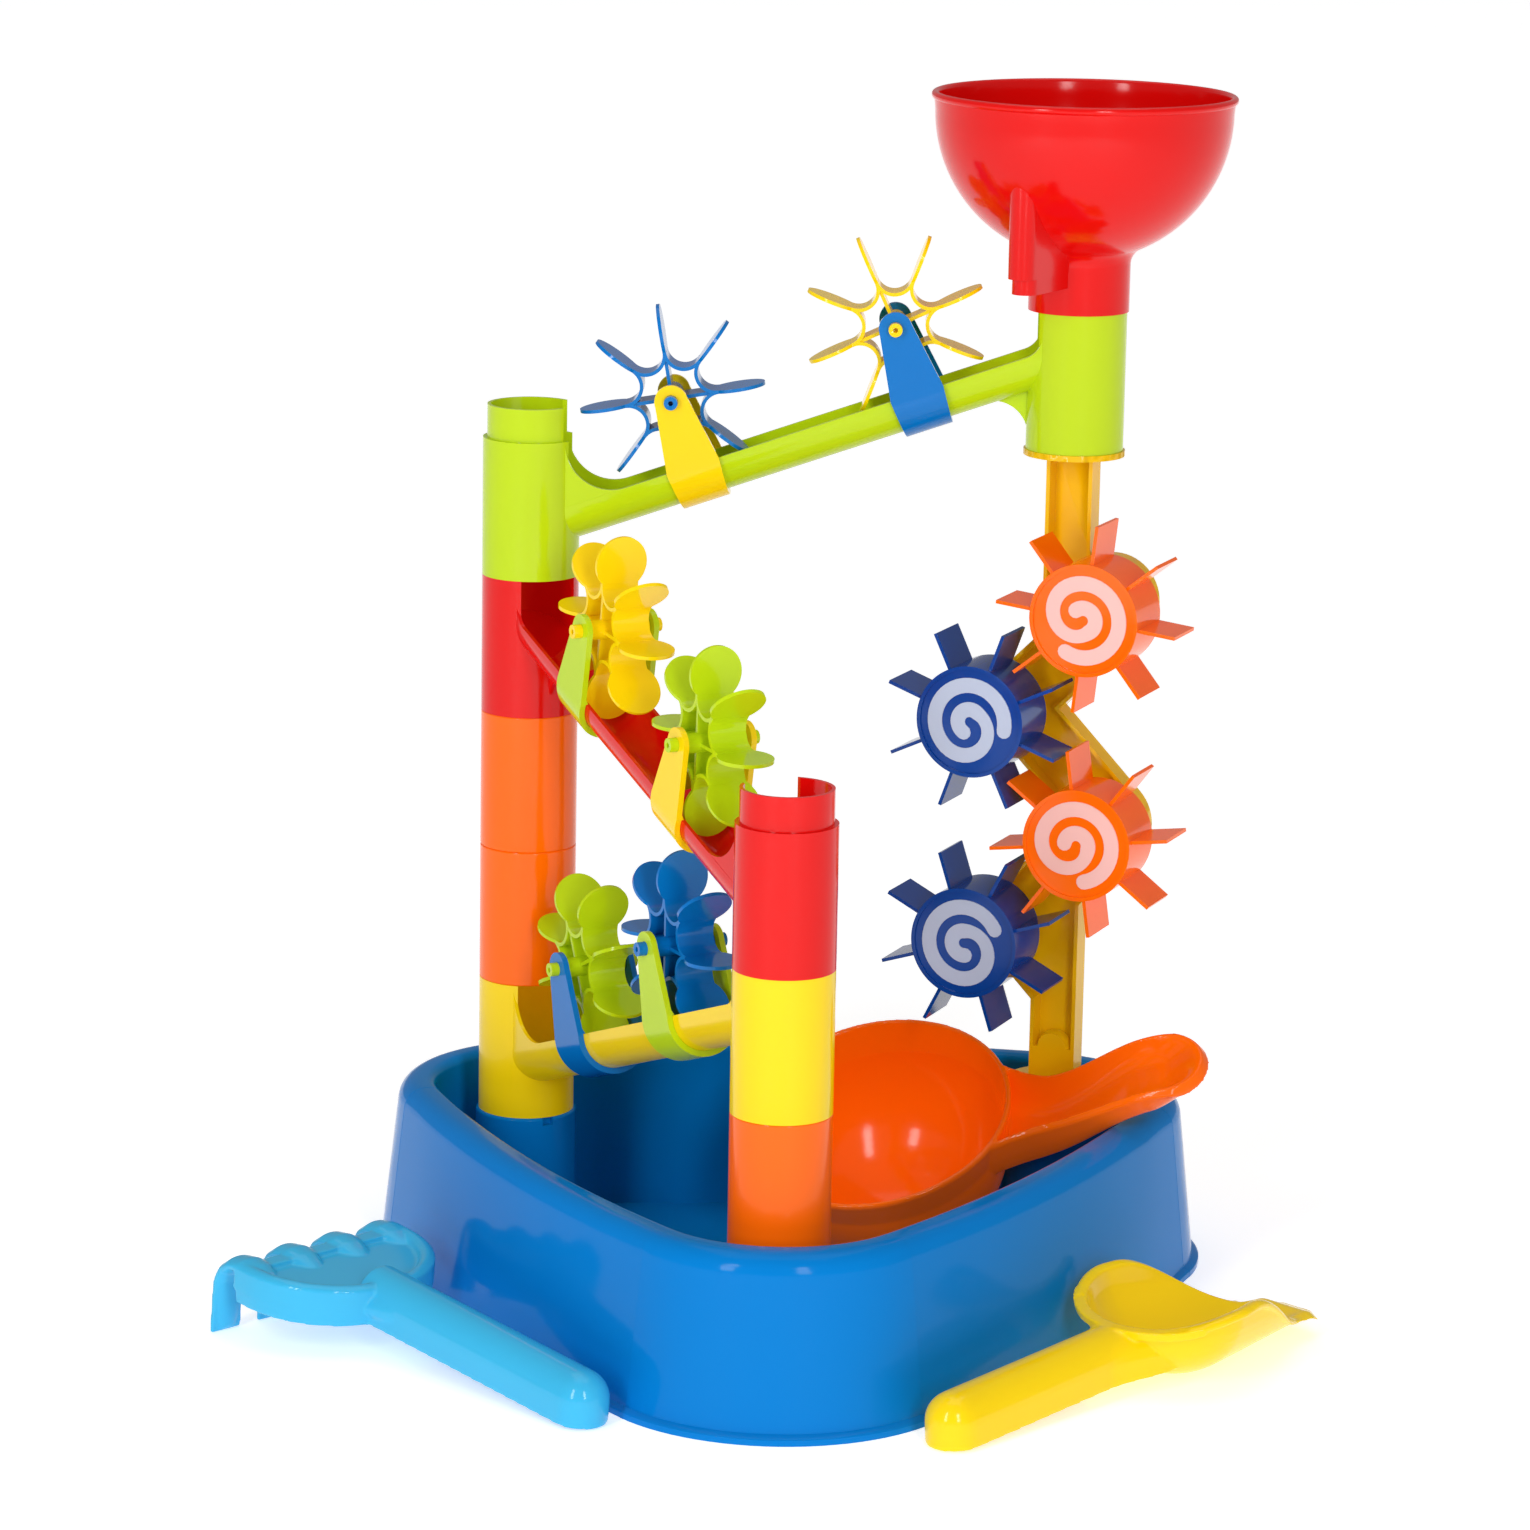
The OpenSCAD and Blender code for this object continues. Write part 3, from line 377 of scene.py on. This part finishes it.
@dataclass
class SoftTool:
    """A hand tool whose edges and joints run softly into each other, in place of its sharp-edged CAD node."""

    node: str
    body: str
    slot: str
    shop: PlasticShop
    grain: float = 0.8 * MM
    passes: int = 8
    pull: float = 0.5

    def build(self, frame: dict) -> bpy.types.Object:
        """Closes the tool's shape into an even skin, smooths it and dresses it.

        Args:
            frame: The loaded frame.

        Returns:
            The soft piece, in place of the node.
        """
        piece = bpy.data.objects.new(self.node + "_soft", self.shape(frame))
        bpy.context.scene.collection.objects.link(piece)
        weld = piece.modifiers.new("weld", "WELD")
        weld.merge_threshold = WELD
        skin = piece.modifiers.new("even skin", "REMESH")
        skin.mode = "VOXEL"
        skin.voxel_size = self.grain
        skin.use_smooth_shade = True
        ease = piece.modifiers.new("soft edges", "SMOOTH")
        ease.factor = self.pull
        ease.iterations = self.passes
        self._settle(piece)
        piece.data.materials.clear()
        piece.data.materials.append(self.shop.material(self.slot))
        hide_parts(self.node)
        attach(piece, self.body)
        LOG.info("built %s with %d faces", piece.name, len(piece.data.polygons))
        return piece

    def shape(self, frame: dict) -> bpy.types.Mesh:
        """Lays the soft forms over a copy of the node's mesh.

        Args:
            frame: The loaded frame.

        Returns:
            The mesh that gets the even skin.
        """
        source = frame["nodes"][self.node]
        points = [source.matrix_world @ v.co for v in source.data.vertices]
        extra, skin = join(self.additions())
        faces = [tuple(f.vertices) for f in source.data.polygons]
        faces += [tuple(i + len(points) for i in face) for face in skin]
        return self._mesh(points + [(self.lie @ p) * MM for p in extra], faces)

    @property
    def lie(self) -> Matrix:
        """Place and turn of the lying tool, in mm."""
        return Matrix.Identity(4)

    def additions(self) -> list[Skin]:
        """Soft forms of the tool, in its own millimetres."""
        return []

    def _mesh(self, points: list[Vector], faces: list[Face]) -> bpy.types.Mesh:
        """Makes the mesh of points in the frame's metres."""
        mesh = bpy.data.meshes.new(self.node + "_form")
        mesh.from_pydata([tuple(p) for p in points], [], faces)
        return mesh

    @staticmethod
    def _settle(piece: bpy.types.Object) -> None:
        """Turns the piece's modifiers into plain mesh."""
        graph = bpy.context.evaluated_depsgraph_get()
        mesh = bpy.data.meshes.new_from_object(piece.evaluated_get(graph))
        piece.modifiers.clear()
        piece.data = mesh


@dataclass
class FloorTool(SoftTool):
    """A tool that lies on the floor, turned to its side and raised at its head. Lengths in mm."""

    at: Point = (0.0, 0.0, 0.0)
    aim: float = 0.0
    pitch: float = 0.0

    @property
    def lie(self) -> Matrix:
        """Place and turn of the lying tool, in mm."""
        return (Matrix.Translation(Vector(self.at)) @ Matrix.Rotation(math.radians(self.aim), 4, "Z")
                @ Matrix.Rotation(math.radians(-self.pitch), 4, "Y"))


@dataclass
class Funnel:
    """The funnel: a turned bowl with a rolled lip, and the pocket that hangs under its front left. Lengths in mm."""

    shop: PlasticShop
    node: str = "funnel"
    body: str = "stand"
    slot: str = "red"
    foot: Point = (139.0, 80.252, 499.8)
    neck: float = 25.8
    bore: float = 23.0
    bowl: float = 75.5
    middle: float = 101.0
    band: float = 9.0
    wall: float = 2.0
    lip: float = 2.0
    lip_from: float = -75.0
    lip_sweep: float = 230.0
    blend: float = 9.0
    pocket_turn: float = math.radians(240)
    pocket_half: float = 7.0
    pocket_reach: float = 68.0
    pocket_foot: float = 14.0
    pocket_step: float = 8.0
    step_back: float = 4.0
    step_side: float = 0.3
    step_lap: float = 0.4
    neck_sink: float = 1.5
    bowl_sink: float = 0.9
    tip_flat: float = 0.02
    sharp: float = math.radians(40)
    rounds: int = 128
    arc_steps: int = 12
    bowl_steps: int = 24
    pocket_steps: int = 16

    def build(self) -> bpy.types.Object:
        """Builds the funnel in place of its node.

        Returns:
            The dressed piece.
        """
        line = self._profile()
        step = self.pocket_foot + self.pocket_step
        points, faces = join([
            (turned(line, self.rounds), tube(len(line), self.rounds, looped=True)),
            self._block(self.pocket_reach, self.pocket_half, step, None),
            self._block(self.pocket_reach - self.step_back, self.pocket_half - self.step_side, self.pocket_foot,
                        step + self.step_lap)])
        place = Vector(self.foot)
        mesh = bpy.data.meshes.new(self.node + "_form")
        mesh.from_pydata([tuple((place + p) * MM) for p in points], [], faces)
        mesh.shade_smooth()
        mesh.set_sharp_from_angle(angle=self.sharp)
        mesh.materials.append(self.shop.material(self.slot))
        piece = bpy.data.objects.new(self.node + "_soft", mesh)
        bpy.context.scene.collection.objects.link(piece)
        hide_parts(self.node)
        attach(piece, self.body)
        LOG.info("built %s with %d faces", piece.name, len(mesh.polygons))
        return piece

    def _profile(self) -> list[tuple[float, float]]:
        """Gives the wall's closed outline as radius and height, from the neck's foot round and back."""
        off = self.neck + self.blend
        down = math.sqrt((self.bowl + self.blend) ** 2 - off ** 2)
        meet = math.atan2(down, off)
        top = self.middle + self.band
        inside = self.bowl - self.wall
        end = math.acos(self.bore / inside)
        turn = [i / self.arc_steps for i in range(self.arc_steps + 1)]
        bend = [i / self.bowl_steps for i in range(self.bowl_steps + 1)]
        line = [(self.neck, 0.0)]
        for t in turn:
            a = math.pi - meet * t
            line.append((off + self.blend * math.cos(a), self.middle - down + self.blend * math.sin(a)))
        for t in bend[1:]:
            a = meet * (t - 1)
            line.append((self.bowl * math.cos(a), self.middle + self.bowl * math.sin(a)))
        for t in turn:
            a = math.radians(self.lip_from + self.lip_sweep * t)
            line.append((self.bowl + self.lip * math.cos(a), top - self.lip + self.lip * math.sin(a)))
        line.append((inside, top - self.lip))
        for t in bend:
            line.append((inside * math.cos(end * t), self.middle - inside * math.sin(end * t)))
        return line + [(self.bore, 0.0)]

    def _block(self, reach: float, half: float, low: float, high: float | None) -> Skin:
        """Builds one upright block of the pocket, round at its outer end.

        Args:
            reach: Distance of its outer end from the axis.
            half: Half of its width.
            low: Height of its underside.
            high: Height of its top, or None where it runs up into the bowl's wall.

        Returns:
            The closed skin.
        """
        out = Vector((math.cos(self.pocket_turn), math.sin(self.pocket_turn), 0.0))
        side = Vector((-out.y, out.x, 0.0))
        inner, start = self.neck - self.neck_sink, reach - half
        places = [inner + (start - inner) * i / self.pocket_steps for i in range(self.pocket_steps + 1)]
        places += [start + half * math.sin(math.pi / 2 * i / self.arc_steps) for i in range(1, self.arc_steps)]
        places.append(reach - self.tip_flat)
        points: list[Vector] = []
        for place in places:
            wide = math.sqrt(half ** 2 - max(0.0, place - start) ** 2)
            inside = (self.bowl - self.bowl_sink) ** 2 - place ** 2 - wide ** 2
            top = self.middle - math.sqrt(inside) if high is None else high
            for v, z in ((-wide, low), (wide, low), (wide, top), (-wide, top)):
                points.append(out * place + side * v + Vector((0.0, 0.0, z)))
        return points, tube(len(places), 4)


@dataclass
class Scoop(SoftTool):
    """The scoop: a round bowl and a swept trough handle that flares into the bowl's rim. Lengths in mm."""

    at: Point = (49.8, 50.0, 68.8)
    aim: float = -25.3
    tilt: float = 29.0
    turn: float = 17.0
    rim: float = 70.0
    rim_under: float = 0.6
    bead: float = 0.6
    bead_under: float = 2.4
    bottom: float = 66.0
    collar: float = 18.3
    wall: float = 2.2
    handle: float = 107.0
    rise: float = 22.0
    rise_from: float = 12.0
    rise_share: float = 0.68
    lip: float = 3.0
    half_width: float = 20.5
    flare: float = 13.0
    flare_share: float = 0.3
    swell: float = 3.0
    swell_share: float = 0.5
    deep: float = 21.0
    shallow: float = 10.0
    shallow_share: float = 0.9
    close_share: float = 0.2
    floor_power: int = 5
    under_power: int = 14
    root: float = 1.2
    root_lean: float = 0.22
    root_depth: float = 24.0
    end_round: float = 0.97
    rounds: int = 96
    arc_steps: int = 24
    along: int = 56
    across: int = 40

    @property
    def lie(self) -> Matrix:
        """Place and turn of the scoop as it leans in the tub, in mm."""
        return (Matrix.Translation(Vector(self.at)) @ Matrix.Rotation(math.radians(self.aim), 4, "Z")
                @ Matrix.Rotation(math.radians(self.tilt), 4, "X")
                @ Matrix.Rotation(math.radians(self.turn), 4, "Z")
                @ Matrix.Translation(Vector((0, 0, self.collar))))

    def shape(self, frame: dict) -> bpy.types.Mesh:
        """Builds the bowl and the handle as two closed skins in one mesh.

        Args:
            frame: The loaded frame; not used here.

        Returns:
            The mesh that gets the even skin.
        """
        points, faces = join(self.additions())
        return self._mesh([(self.lie @ p) * MM for p in points], faces)

    def additions(self) -> list[Skin]:
        """Bowl and handle."""
        return [self._bowl(), (self._handle(), shell(self.along, self.across))]

    def _bowl(self) -> Skin:
        """Turns the bowl's profile round its axis."""
        arc = [math.radians(-90 + 90 * i / self.arc_steps) for i in range(1, self.arc_steps + 1)]
        outer, inner = ([(r * math.cos(a), r * math.sin(a) - self.collar) for a in arc]
                        for r in (self.bottom, self.bottom - self.wall))
        lip = [(self.rim + self.bead, -self.bead_under), (self.rim, -self.rim_under),
               (self.rim - self.wall, -self.rim_under)]
        profile = outer + lip + inner[::-1]
        return turned(profile, self.rounds), tube(len(profile), self.rounds)

    def _handle(self) -> list[Vector]:
        """Sweeps the handle: a trough that gets shallow to its round end.

        Returns:
            The points of its inner and then its outer sheet.
        """
        end = self.rim + self.handle
        points: list[Vector] = []
        for under in (False, True):
            for i in range(self.along + 1):
                t = i / self.along
                wide = (self.half_width + self.flare * max(0.0, 1 - t / self.flare_share) ** 2
                        + self.swell * soft((t - self.flare_share) / self.swell_share))
                deep = self.deep + (self.shallow - self.deep) * soft(t / self.shallow_share)
                deep *= 1 - soft((t - 1 + self.close_share) / self.close_share)
                half = wide if under else wide - self.lip
                for j in range(self.across + 1):
                    v = 2 * j / self.across - 1
                    if under:
                        drop = (deep + self.lip) * (1 - abs(v) ** self.under_power) + self.lip
                    else:
                        drop = deep * (1 - abs(v) ** self.floor_power)
                    root = self.rim - self.root - self.root_lean * min(drop, self.root_depth)
                    start = math.sqrt(root ** 2 - (v * half) ** 2)
                    stop = end - wide + math.sqrt(1 - (self.end_round * v) ** 2) * half
                    x = start + (stop - start) * t
                    z = self.rise * soft((x - self.rim - self.rise_from) / (self.rise_share * self.handle))
                    points.append(Vector((x, v * half, z - self.rim_under - drop)))
        return points


@dataclass
class Rake(FloorTool):
    """The rake: rolled border, deep skirt, round fingers and neck over the CAD head. Lengths in mm."""

    at: Point = (-83.0, -218.6, 0.6)
    aim: float = 135.1
    pitch: float = 5.5
    length: float = 215.0
    back: float = 63.0
    half: float = 53.1
    front: float = 2.0
    border: float = 4.2
    border_level: float = 16.6
    skirt_half: float = 1.6
    skirt_high: float = 9.0
    skirt_level: float = 8.5
    skirt_inset: float = 1.8
    fingers: int = 4
    finger_gap: float = 29.4
    finger_half: float = 8.8
    finger_thick: float = 3.9
    finger_spine: tuple[Point, ...] = (
        (-19, 15.6, 0.4), (-15, 16.3, 0.7), (-9, 17.4, 0.92), (-2, 18.0, 1.0), (6, 16.5, 1.0),
        (11.5, 12.2, 1.0), (14.2, 5.5, 0.97), (15.0, -4, 0.93), (15.0, -14, 0.88), (15.0, -20.5, 0.7))
    neck_from: float = 26.0
    neck_step: float = 6.0
    neck_steps: int = 8
    neck_level: tuple[float, float] = (11.0, -0.3)
    neck_half: tuple[float, float] = (12.5, 1.1)
    neck_high: tuple[float, float] = (12.8, -0.95)
    arc_steps: int = 40

    def additions(self) -> list[Skin]:
        """Rolled border, skirt, fingers and neck."""
        skins = [self._rim(self.border_level, self.border, self.border, self.border),
                 self._rim(self.skirt_level, self.skirt_half, self.skirt_high, self.skirt_inset)]
        skins += [self._finger((i - (self.fingers - 1) / 2) * self.finger_gap) for i in range(self.fingers)]
        return skins + [self._neck()]

    def _rim(self, level: float, wide: float, high: float, inset: float) -> Skin:
        """Sweeps an oval round the head's back edge.

        Args:
            level: Height of the oval's middle.
            wide: Half of its width.
            high: Half of its height.
            inset: Distance of its middle inside the head's edge.

        Returns:
            The closed skin.
        """
        r, front, up = self.half - inset, self.length - self.front, Vector((0, 0, high))
        middle = Vector((self.length - self.back + self.half, 0, level))
        stations = [(Vector((front, -r, level)), Vector((0, -wide, 0)), up)]
        for i in range(self.arc_steps + 1):
            a = math.radians(-90 - 180 * i / self.arc_steps)
            out = Vector((math.cos(a), math.sin(a), 0))
            stations.append((middle + out * r, out * wide, up))
        stations.append((Vector((front, r, level)), Vector((0, wide, 0)), up))
        return sweep(stations)

    def _finger(self, y: float) -> Skin:
        """Sweeps one finger from the panel over the bend and down to its tip.

        Args:
            y: Place of the finger along the row.

        Returns:
            The closed skin.
        """
        stations = []
        for i, (x, z, k) in enumerate(self.finger_spine):
            before, after = self.finger_spine[max(0, i - 1)], self.finger_spine[i:i + 2][-1]
            way = Vector((after[0] - before[0], 0, after[1] - before[1])).normalized()
            stations.append((Vector((self.length + x, y, z)), Vector((0, self.finger_half * k, 0)),
                             Vector((-way.z, 0, way.x)) * self.finger_thick * k))
        return sweep(stations)

    def _neck(self) -> Skin:
        """Runs the handle's end out into the head."""
        start = self.length - self.back - self.neck_from
        stations = []
        for i in range(self.neck_steps):
            level, half, high = (a + b * i for a, b in (self.neck_level, self.neck_half, self.neck_high))
            place = Vector((start + self.neck_step * i, 0, level))
            stations.append((place, Vector((0, half, 0)), Vector((0, 0, high))))
        return sweep(stations)


@dataclass
class Shovel(FloorTool):
    """The shovel: the CAD handle, a neck, and a bowl that is drawn out into a curled lip. Lengths in mm."""

    at: Point = (76.7, -235.8, 0.6)
    aim: float = 47.0
    pitch: float = 3.7
    grain: float = 0.7 * MM
    passes: int = 10
    cut: float = 150.0
    lap: float = 12.0
    middle: float = 174.0
    bowl: float = 46.0
    under: float = 11.25
    wall: float = 3.6
    nose: float = 90.0
    nose_narrow: float = 19.0
    nose_fall: float = 18.0
    tip: float = 271.0
    tip_round: float = 9.0
    tip_share: float = 0.6
    tip_least: float = 4.0
    curl: float = 4.0
    curl_length: float = 12.0
    flat_from: float = 36.0
    flat_length: float = 32.0
    flat_drop: float = 1.6
    flat_thick: float = 0.9
    back_rim: float = 25.0
    rim_rise: float = 6.0
    rim_fall: float = 33.0
    fall_from: float = 8.0
    fall_length: float = 68.0
    roll_lap: float = 5.0
    roll_end: float = 24.0
    roll_from: float = 6.0
    roll_length: float = 62.0
    roll_drop: float = 1.7
    roll_out: tuple[float, float] = (-1.2, 1.4)
    roll_half: tuple[float, float] = (1.2, 1.9)
    roll_high: tuple[float, float] = (1.2, 1.2)
    roll_steps: int = 40
    roll_sides: int = 16
    neck_from: float = 104.0
    neck_length: float = 50.0
    neck_half: float = 14.0
    neck_side: float = 10.6
    neck_crown: float = 13.8
    neck_under: float = 0.4
    neck_least: float = 0.3
    neck_sink: float = 1.4
    neck_flare: float = 8.0
    flare_from: float = 106.0
    flare_length: float = 44.0
    neck_steps: int = 18
    neck_across: int = 24
    along: int = 64
    across: int = 40

    def shape(self, frame: dict) -> bpy.types.Mesh:
        """Keeps the handle of the node's mesh and adds neck, bowl and rim.

        Args:
            frame: The loaded frame.

        Returns:
            The mesh that gets the even skin.
        """
        source = frame["nodes"][self.node]
        form = bmesh.new()
        form.from_mesh(source.data)
        bmesh.ops.transform(form, matrix=Matrix.Scale(1 / MM, 4) @ source.matrix_world, verts=form.verts)
        bmesh.ops.transform(form, matrix=self.lie.inverted(), verts=form.verts)
        bmesh.ops.remove_doubles(form, verts=form.verts, dist=WELD / MM)
        cut = bmesh.ops.bisect_plane(form, geom=form.verts[:] + form.edges[:] + form.faces[:],
                                     plane_co=(self.cut, 0, 0), plane_no=(1, 0, 0), clear_outer=True)
        bmesh.ops.edgeloop_fill(form, edges=[e for e in cut["geom_cut"] if isinstance(e, bmesh.types.BMEdge)])
        form.verts.index_update()
        handle = ([v.co.copy() for v in form.verts], [tuple(v.index for v in f.verts) for f in form.faces])
        form.free()
        points, faces = join([handle] + self.additions())
        return self._mesh([(self.lie @ p) * MM for p in points], faces)

    def additions(self) -> list[Skin]:
        """Neck, bowl and the two sides of the rolled rim."""
        return [self._neck(), (self._wall(), shell(self.along, self.across)), self._roll(1), self._roll(-1)]

    def _curl(self, x: float) -> float:
        """How far the lip has curled down at a place along the shovel."""
        return self.curl * soft((x - self.tip + self.curl_length) / self.curl_length)

    def _round(self, x: float) -> tuple[float, float]:
        """Outer radius of the bowl's section at a place along the shovel, and the height of its middle."""
        top = self.bowl - self.under
        if x < self.middle:
            return math.sqrt(self.bowl ** 2 - (self.middle - x) ** 2), top
        far = (x - self.middle) / self.nose
        return self.bowl - self.nose_narrow * far, top - self.nose_fall * far - self._curl(x)

    def _edge(self, x: float) -> float:
        """Height of the rim at a place along the shovel."""
        rise = self.back_rim + self.rim_rise * soft((x - self.middle) / self.bowl + 1)
        return rise - self.rim_fall * soft((x - self.middle - self.fall_from) / self.fall_length) - self._curl(x)

    def _half(self, x: float, inset: float) -> float:
        """Half width of the bowl between its rims, rounded off at the tip."""
        radius, middle = self._round(x)
        wide = math.sqrt(max(self.tip_least ** 2, (radius - inset) ** 2 - (middle - self._edge(x)) ** 2))
        end = max(0.0, (x - self.tip + self.tip_round) / self.tip_round)
        return wide * math.sqrt(1 - self.tip_share * min(1.0, end) ** 2)

    def _wall(self) -> list[Vector]:
        """Bends the bowl's wall, flat towards the lip.

        Returns:
            The points of its inner and then its outer sheet.
        """
        back = self.cut - self.lap
        points: list[Vector] = []
        for inset in (self.wall, 0.0):
            for i in range(self.along + 1):
                x = back + (self.tip - back) * i / self.along
                radius, middle = self._round(x)
                half = self._half(x, inset)
                flat = soft((x - self.tip + self.flat_from) / self.flat_length)
                level = self._edge(x) - self.flat_drop - self.flat_thick * (self.wall - inset)
                for j in range(self.across + 1):
                    y = (2 * j / self.across - 1) * half
                    arc = middle - math.sqrt((radius - inset) ** 2 - y ** 2)
                    points.append(Vector((x, y, arc + (level - arc) * flat)))
        return points

    def _roll(self, side: int) -> Skin:
        """Rolls one side of the bowl's rim, which thins out towards the lip.

        Args:
            side: 1 or -1.

        Returns:
            The closed skin.
        """
        stations = []
        start, end = self.cut - self.roll_lap, self.tip - self.roll_end
        for i in range(self.roll_steps + 1):
            x = start + (end - start) * i / self.roll_steps
            full = 1 - soft((x - self.middle - self.roll_from) / self.roll_length)
            off, half, high = (a + b * full for a, b in (self.roll_out, self.roll_half, self.roll_high))
            place = Vector((x, side * self._half(x, 0), self._edge(x) - self.roll_drop))
            out = Vector((min(0.0, x - self.middle), place.y, 0)).normalized()
            stations.append((place + out * off, out * half, Vector((0, 0, high))))
        return sweep(stations, self.roll_sides)

    def _neck(self) -> Skin:
        """Carries the handle on under the bowl, wider and wider, to where the bowl's wall swallows it."""
        points: list[Vector] = []
        for i in range(self.neck_steps + 1):
            x = self.neck_from + self.neck_length * i / self.neck_steps
            half = self.neck_half + self.neck_flare * soft((x - self.flare_from) / self.flare_length)
            over, below = [], []
            for j in range(self.neck_across + 1):
                y = (2 * j / self.neck_across - 1) * half
                top = self.neck_side + self.neck_crown * math.sqrt(max(0.0, 1 - (y / half) ** 2))
                room = (self.bowl - self.neck_sink) ** 2 - (x - self.middle) ** 2 - y ** 2
                if room > 0:
                    top = min(top, self.bowl - self.under - math.sqrt(room))
                over.append(Vector((x, y, top)))
                below.append(Vector((x, y, min(self.neck_under, top - self.neck_least))))
            points += over + below[::-1]
        return points, tube(self.neck_steps + 1, 2 * (self.neck_across + 1))


@dataclass(frozen=True)
class Softbox:
    """One soft light panel: its place, its width and height, and its power in watts."""

    name: str
    place: Point
    wide: float
    high: float
    power: float


@dataclass
class Studio:
    """A pale floor, soft lights and the camera at the photograph's place."""

    camera_at: Point = (0.0431, -2.6328, 0.8742)
    look: Point = (-0.02131, 0.97497, -0.22130)
    roll: float = math.radians(1.0706)
    lens: float = 126.06
    sensor: float = 36.0
    floor_half: float = 20.0
    floor_shade: float = 0.93
    floor_glow: tuple[float, float] = (0.48, 0.7)
    floor_fade: tuple[float, float] = (0.5, 4.0)
    floor_roughness: float = 0.7
    floor_mirror: float = 0.2
    world_light: float = 0.32
    boxes: tuple[Softbox, ...] = (
        Softbox("left softbox", (-1.06, -1.77, 1.0), 0.32, 1.3, 17.0),
        Softbox("right softbox", (0.63, -2.06, 1.0), 0.32, 1.3, 17.0),
        Softbox("top panel", (0.0, 0.4, 3.2), 2.6, 2.6, 22.0),
    )
    aim: Point = (0.0, 0.0, 0.6)

    def build(self) -> None:
        """Builds the floor, world, lights and camera."""
        self._floor()
        self._world()
        for box in self.boxes:
            self._softbox(box)
        self._camera()

    def _floor(self) -> None:
        """Lays the plain pale floor, which glows a little more the farther it is from the toy."""
        mesh = bpy.data.meshes.new("floor")
        h = self.floor_half
        mesh.from_pydata([(-h, -h, 0), (h, -h, 0), (h, h, 0), (-h, h, 0)], [], [(0, 1, 2, 3)])
        floor = bpy.data.objects.new("floor", mesh)
        bpy.context.scene.collection.objects.link(floor)
        material = bpy.data.materials.new("floor")
        material.use_nodes = True
        shader = material.node_tree.nodes["Principled BSDF"]
        shader.inputs["Base Color"].default_value = (self.floor_shade,) * 3 + (1.0,)
        shader.inputs["Roughness"].default_value = self.floor_roughness
        shader.inputs["Specular IOR Level"].default_value = self.floor_mirror
        nodes, links = material.node_tree.nodes, material.node_tree.links
        place = nodes.new("ShaderNodeTexCoord")
        away = nodes.new("ShaderNodeVectorMath")
        away.operation = "LENGTH"
        links.new(place.outputs["Object"], away.inputs[0])
        painted_glow = nodes.new("ShaderNodeMapRange")
        for name, value in zip(("From Min", "From Max", "To Min", "To Max"), self.floor_fade + self.floor_glow):
            painted_glow.inputs[name].default_value = value
        links.new(away.outputs["Value"], painted_glow.inputs["Value"])
        links.new(painted_glow.outputs["Result"], shader.inputs["Emission Color"])
        shader.inputs["Emission Strength"].default_value = 1.0
        mesh.materials.append(material)

    def _world(self) -> None:
        """Lights the room evenly."""
        world = bpy.data.worlds.new("studio")
        bpy.context.scene.world = world
        world.use_nodes = True
        back = world.node_tree.nodes["Background"]
        back.inputs["Color"].default_value = (1.0, 1.0, 1.0, 1.0)
        back.inputs["Strength"].default_value = self.world_light

    def _softbox(self, box: Softbox) -> None:
        """Hangs one soft light that faces the toy."""
        data = bpy.data.lights.new(box.name, "AREA")
        data.shape = "RECTANGLE"
        data.size = box.wide
        data.size_y = box.high
        data.energy = box.power
        light = bpy.data.objects.new(box.name, data)
        light.location = box.place
        aim = Vector(self.aim) - Vector(box.place)
        light.rotation_euler = aim.to_track_quat("-Z", "Y").to_euler()
        bpy.context.scene.collection.objects.link(light)

    def _camera(self) -> None:
        """Sets the camera where the photograph was taken."""
        data = bpy.data.cameras.new("camera")
        data.lens = self.lens
        data.sensor_width = self.sensor
        data.sensor_fit = "HORIZONTAL"
        data.clip_end = 100.0
        camera = bpy.data.objects.new("camera", data)
        look = Vector(self.look).normalized()
        side = look.cross(Vector((0, 0, 1))).normalized()
        up = side.cross(look)
        right = math.cos(self.roll) * side + math.sin(self.roll) * up
        above = -math.sin(self.roll) * side + math.cos(self.roll) * up
        turn = Matrix((right, above, -look)).transposed()
        camera.matrix_world = Matrix.Translation(Vector(self.camera_at)) @ turn.to_4x4()
        bpy.context.scene.collection.objects.link(camera)
        bpy.context.scene.camera = camera


def main() -> None:
    """Loads the frame, dresses it and builds the studio."""
    logging.basicConfig(level=logging.INFO, format="%(name)s: %(message)s")
    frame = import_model()
    shop = PlasticShop()
    dress = CadDress(shop)
    slots = {part["node"]: part["material_slot"] for part in frame["record"]["subparts"]}
    tools = [kind(node, node + "_tool", slots[node], shop)
             for kind, node in ((Scoop, "scoop"), (Rake, "rake"), (Shovel, "shovel"))]
    reshaped = {tool.node for tool in tools} | {Funnel.node}
    for node, obj in frame["nodes"].items():
        if node not in reshaped:
            dress.dress(node, obj, slots[node])
    for tool in tools:
        tool.build(frame)
    Funnel(shop).build()
    Studio().build()
    bpy.context.scene.view_settings.view_transform = "Standard"


if __name__ == "__main__":
    main()
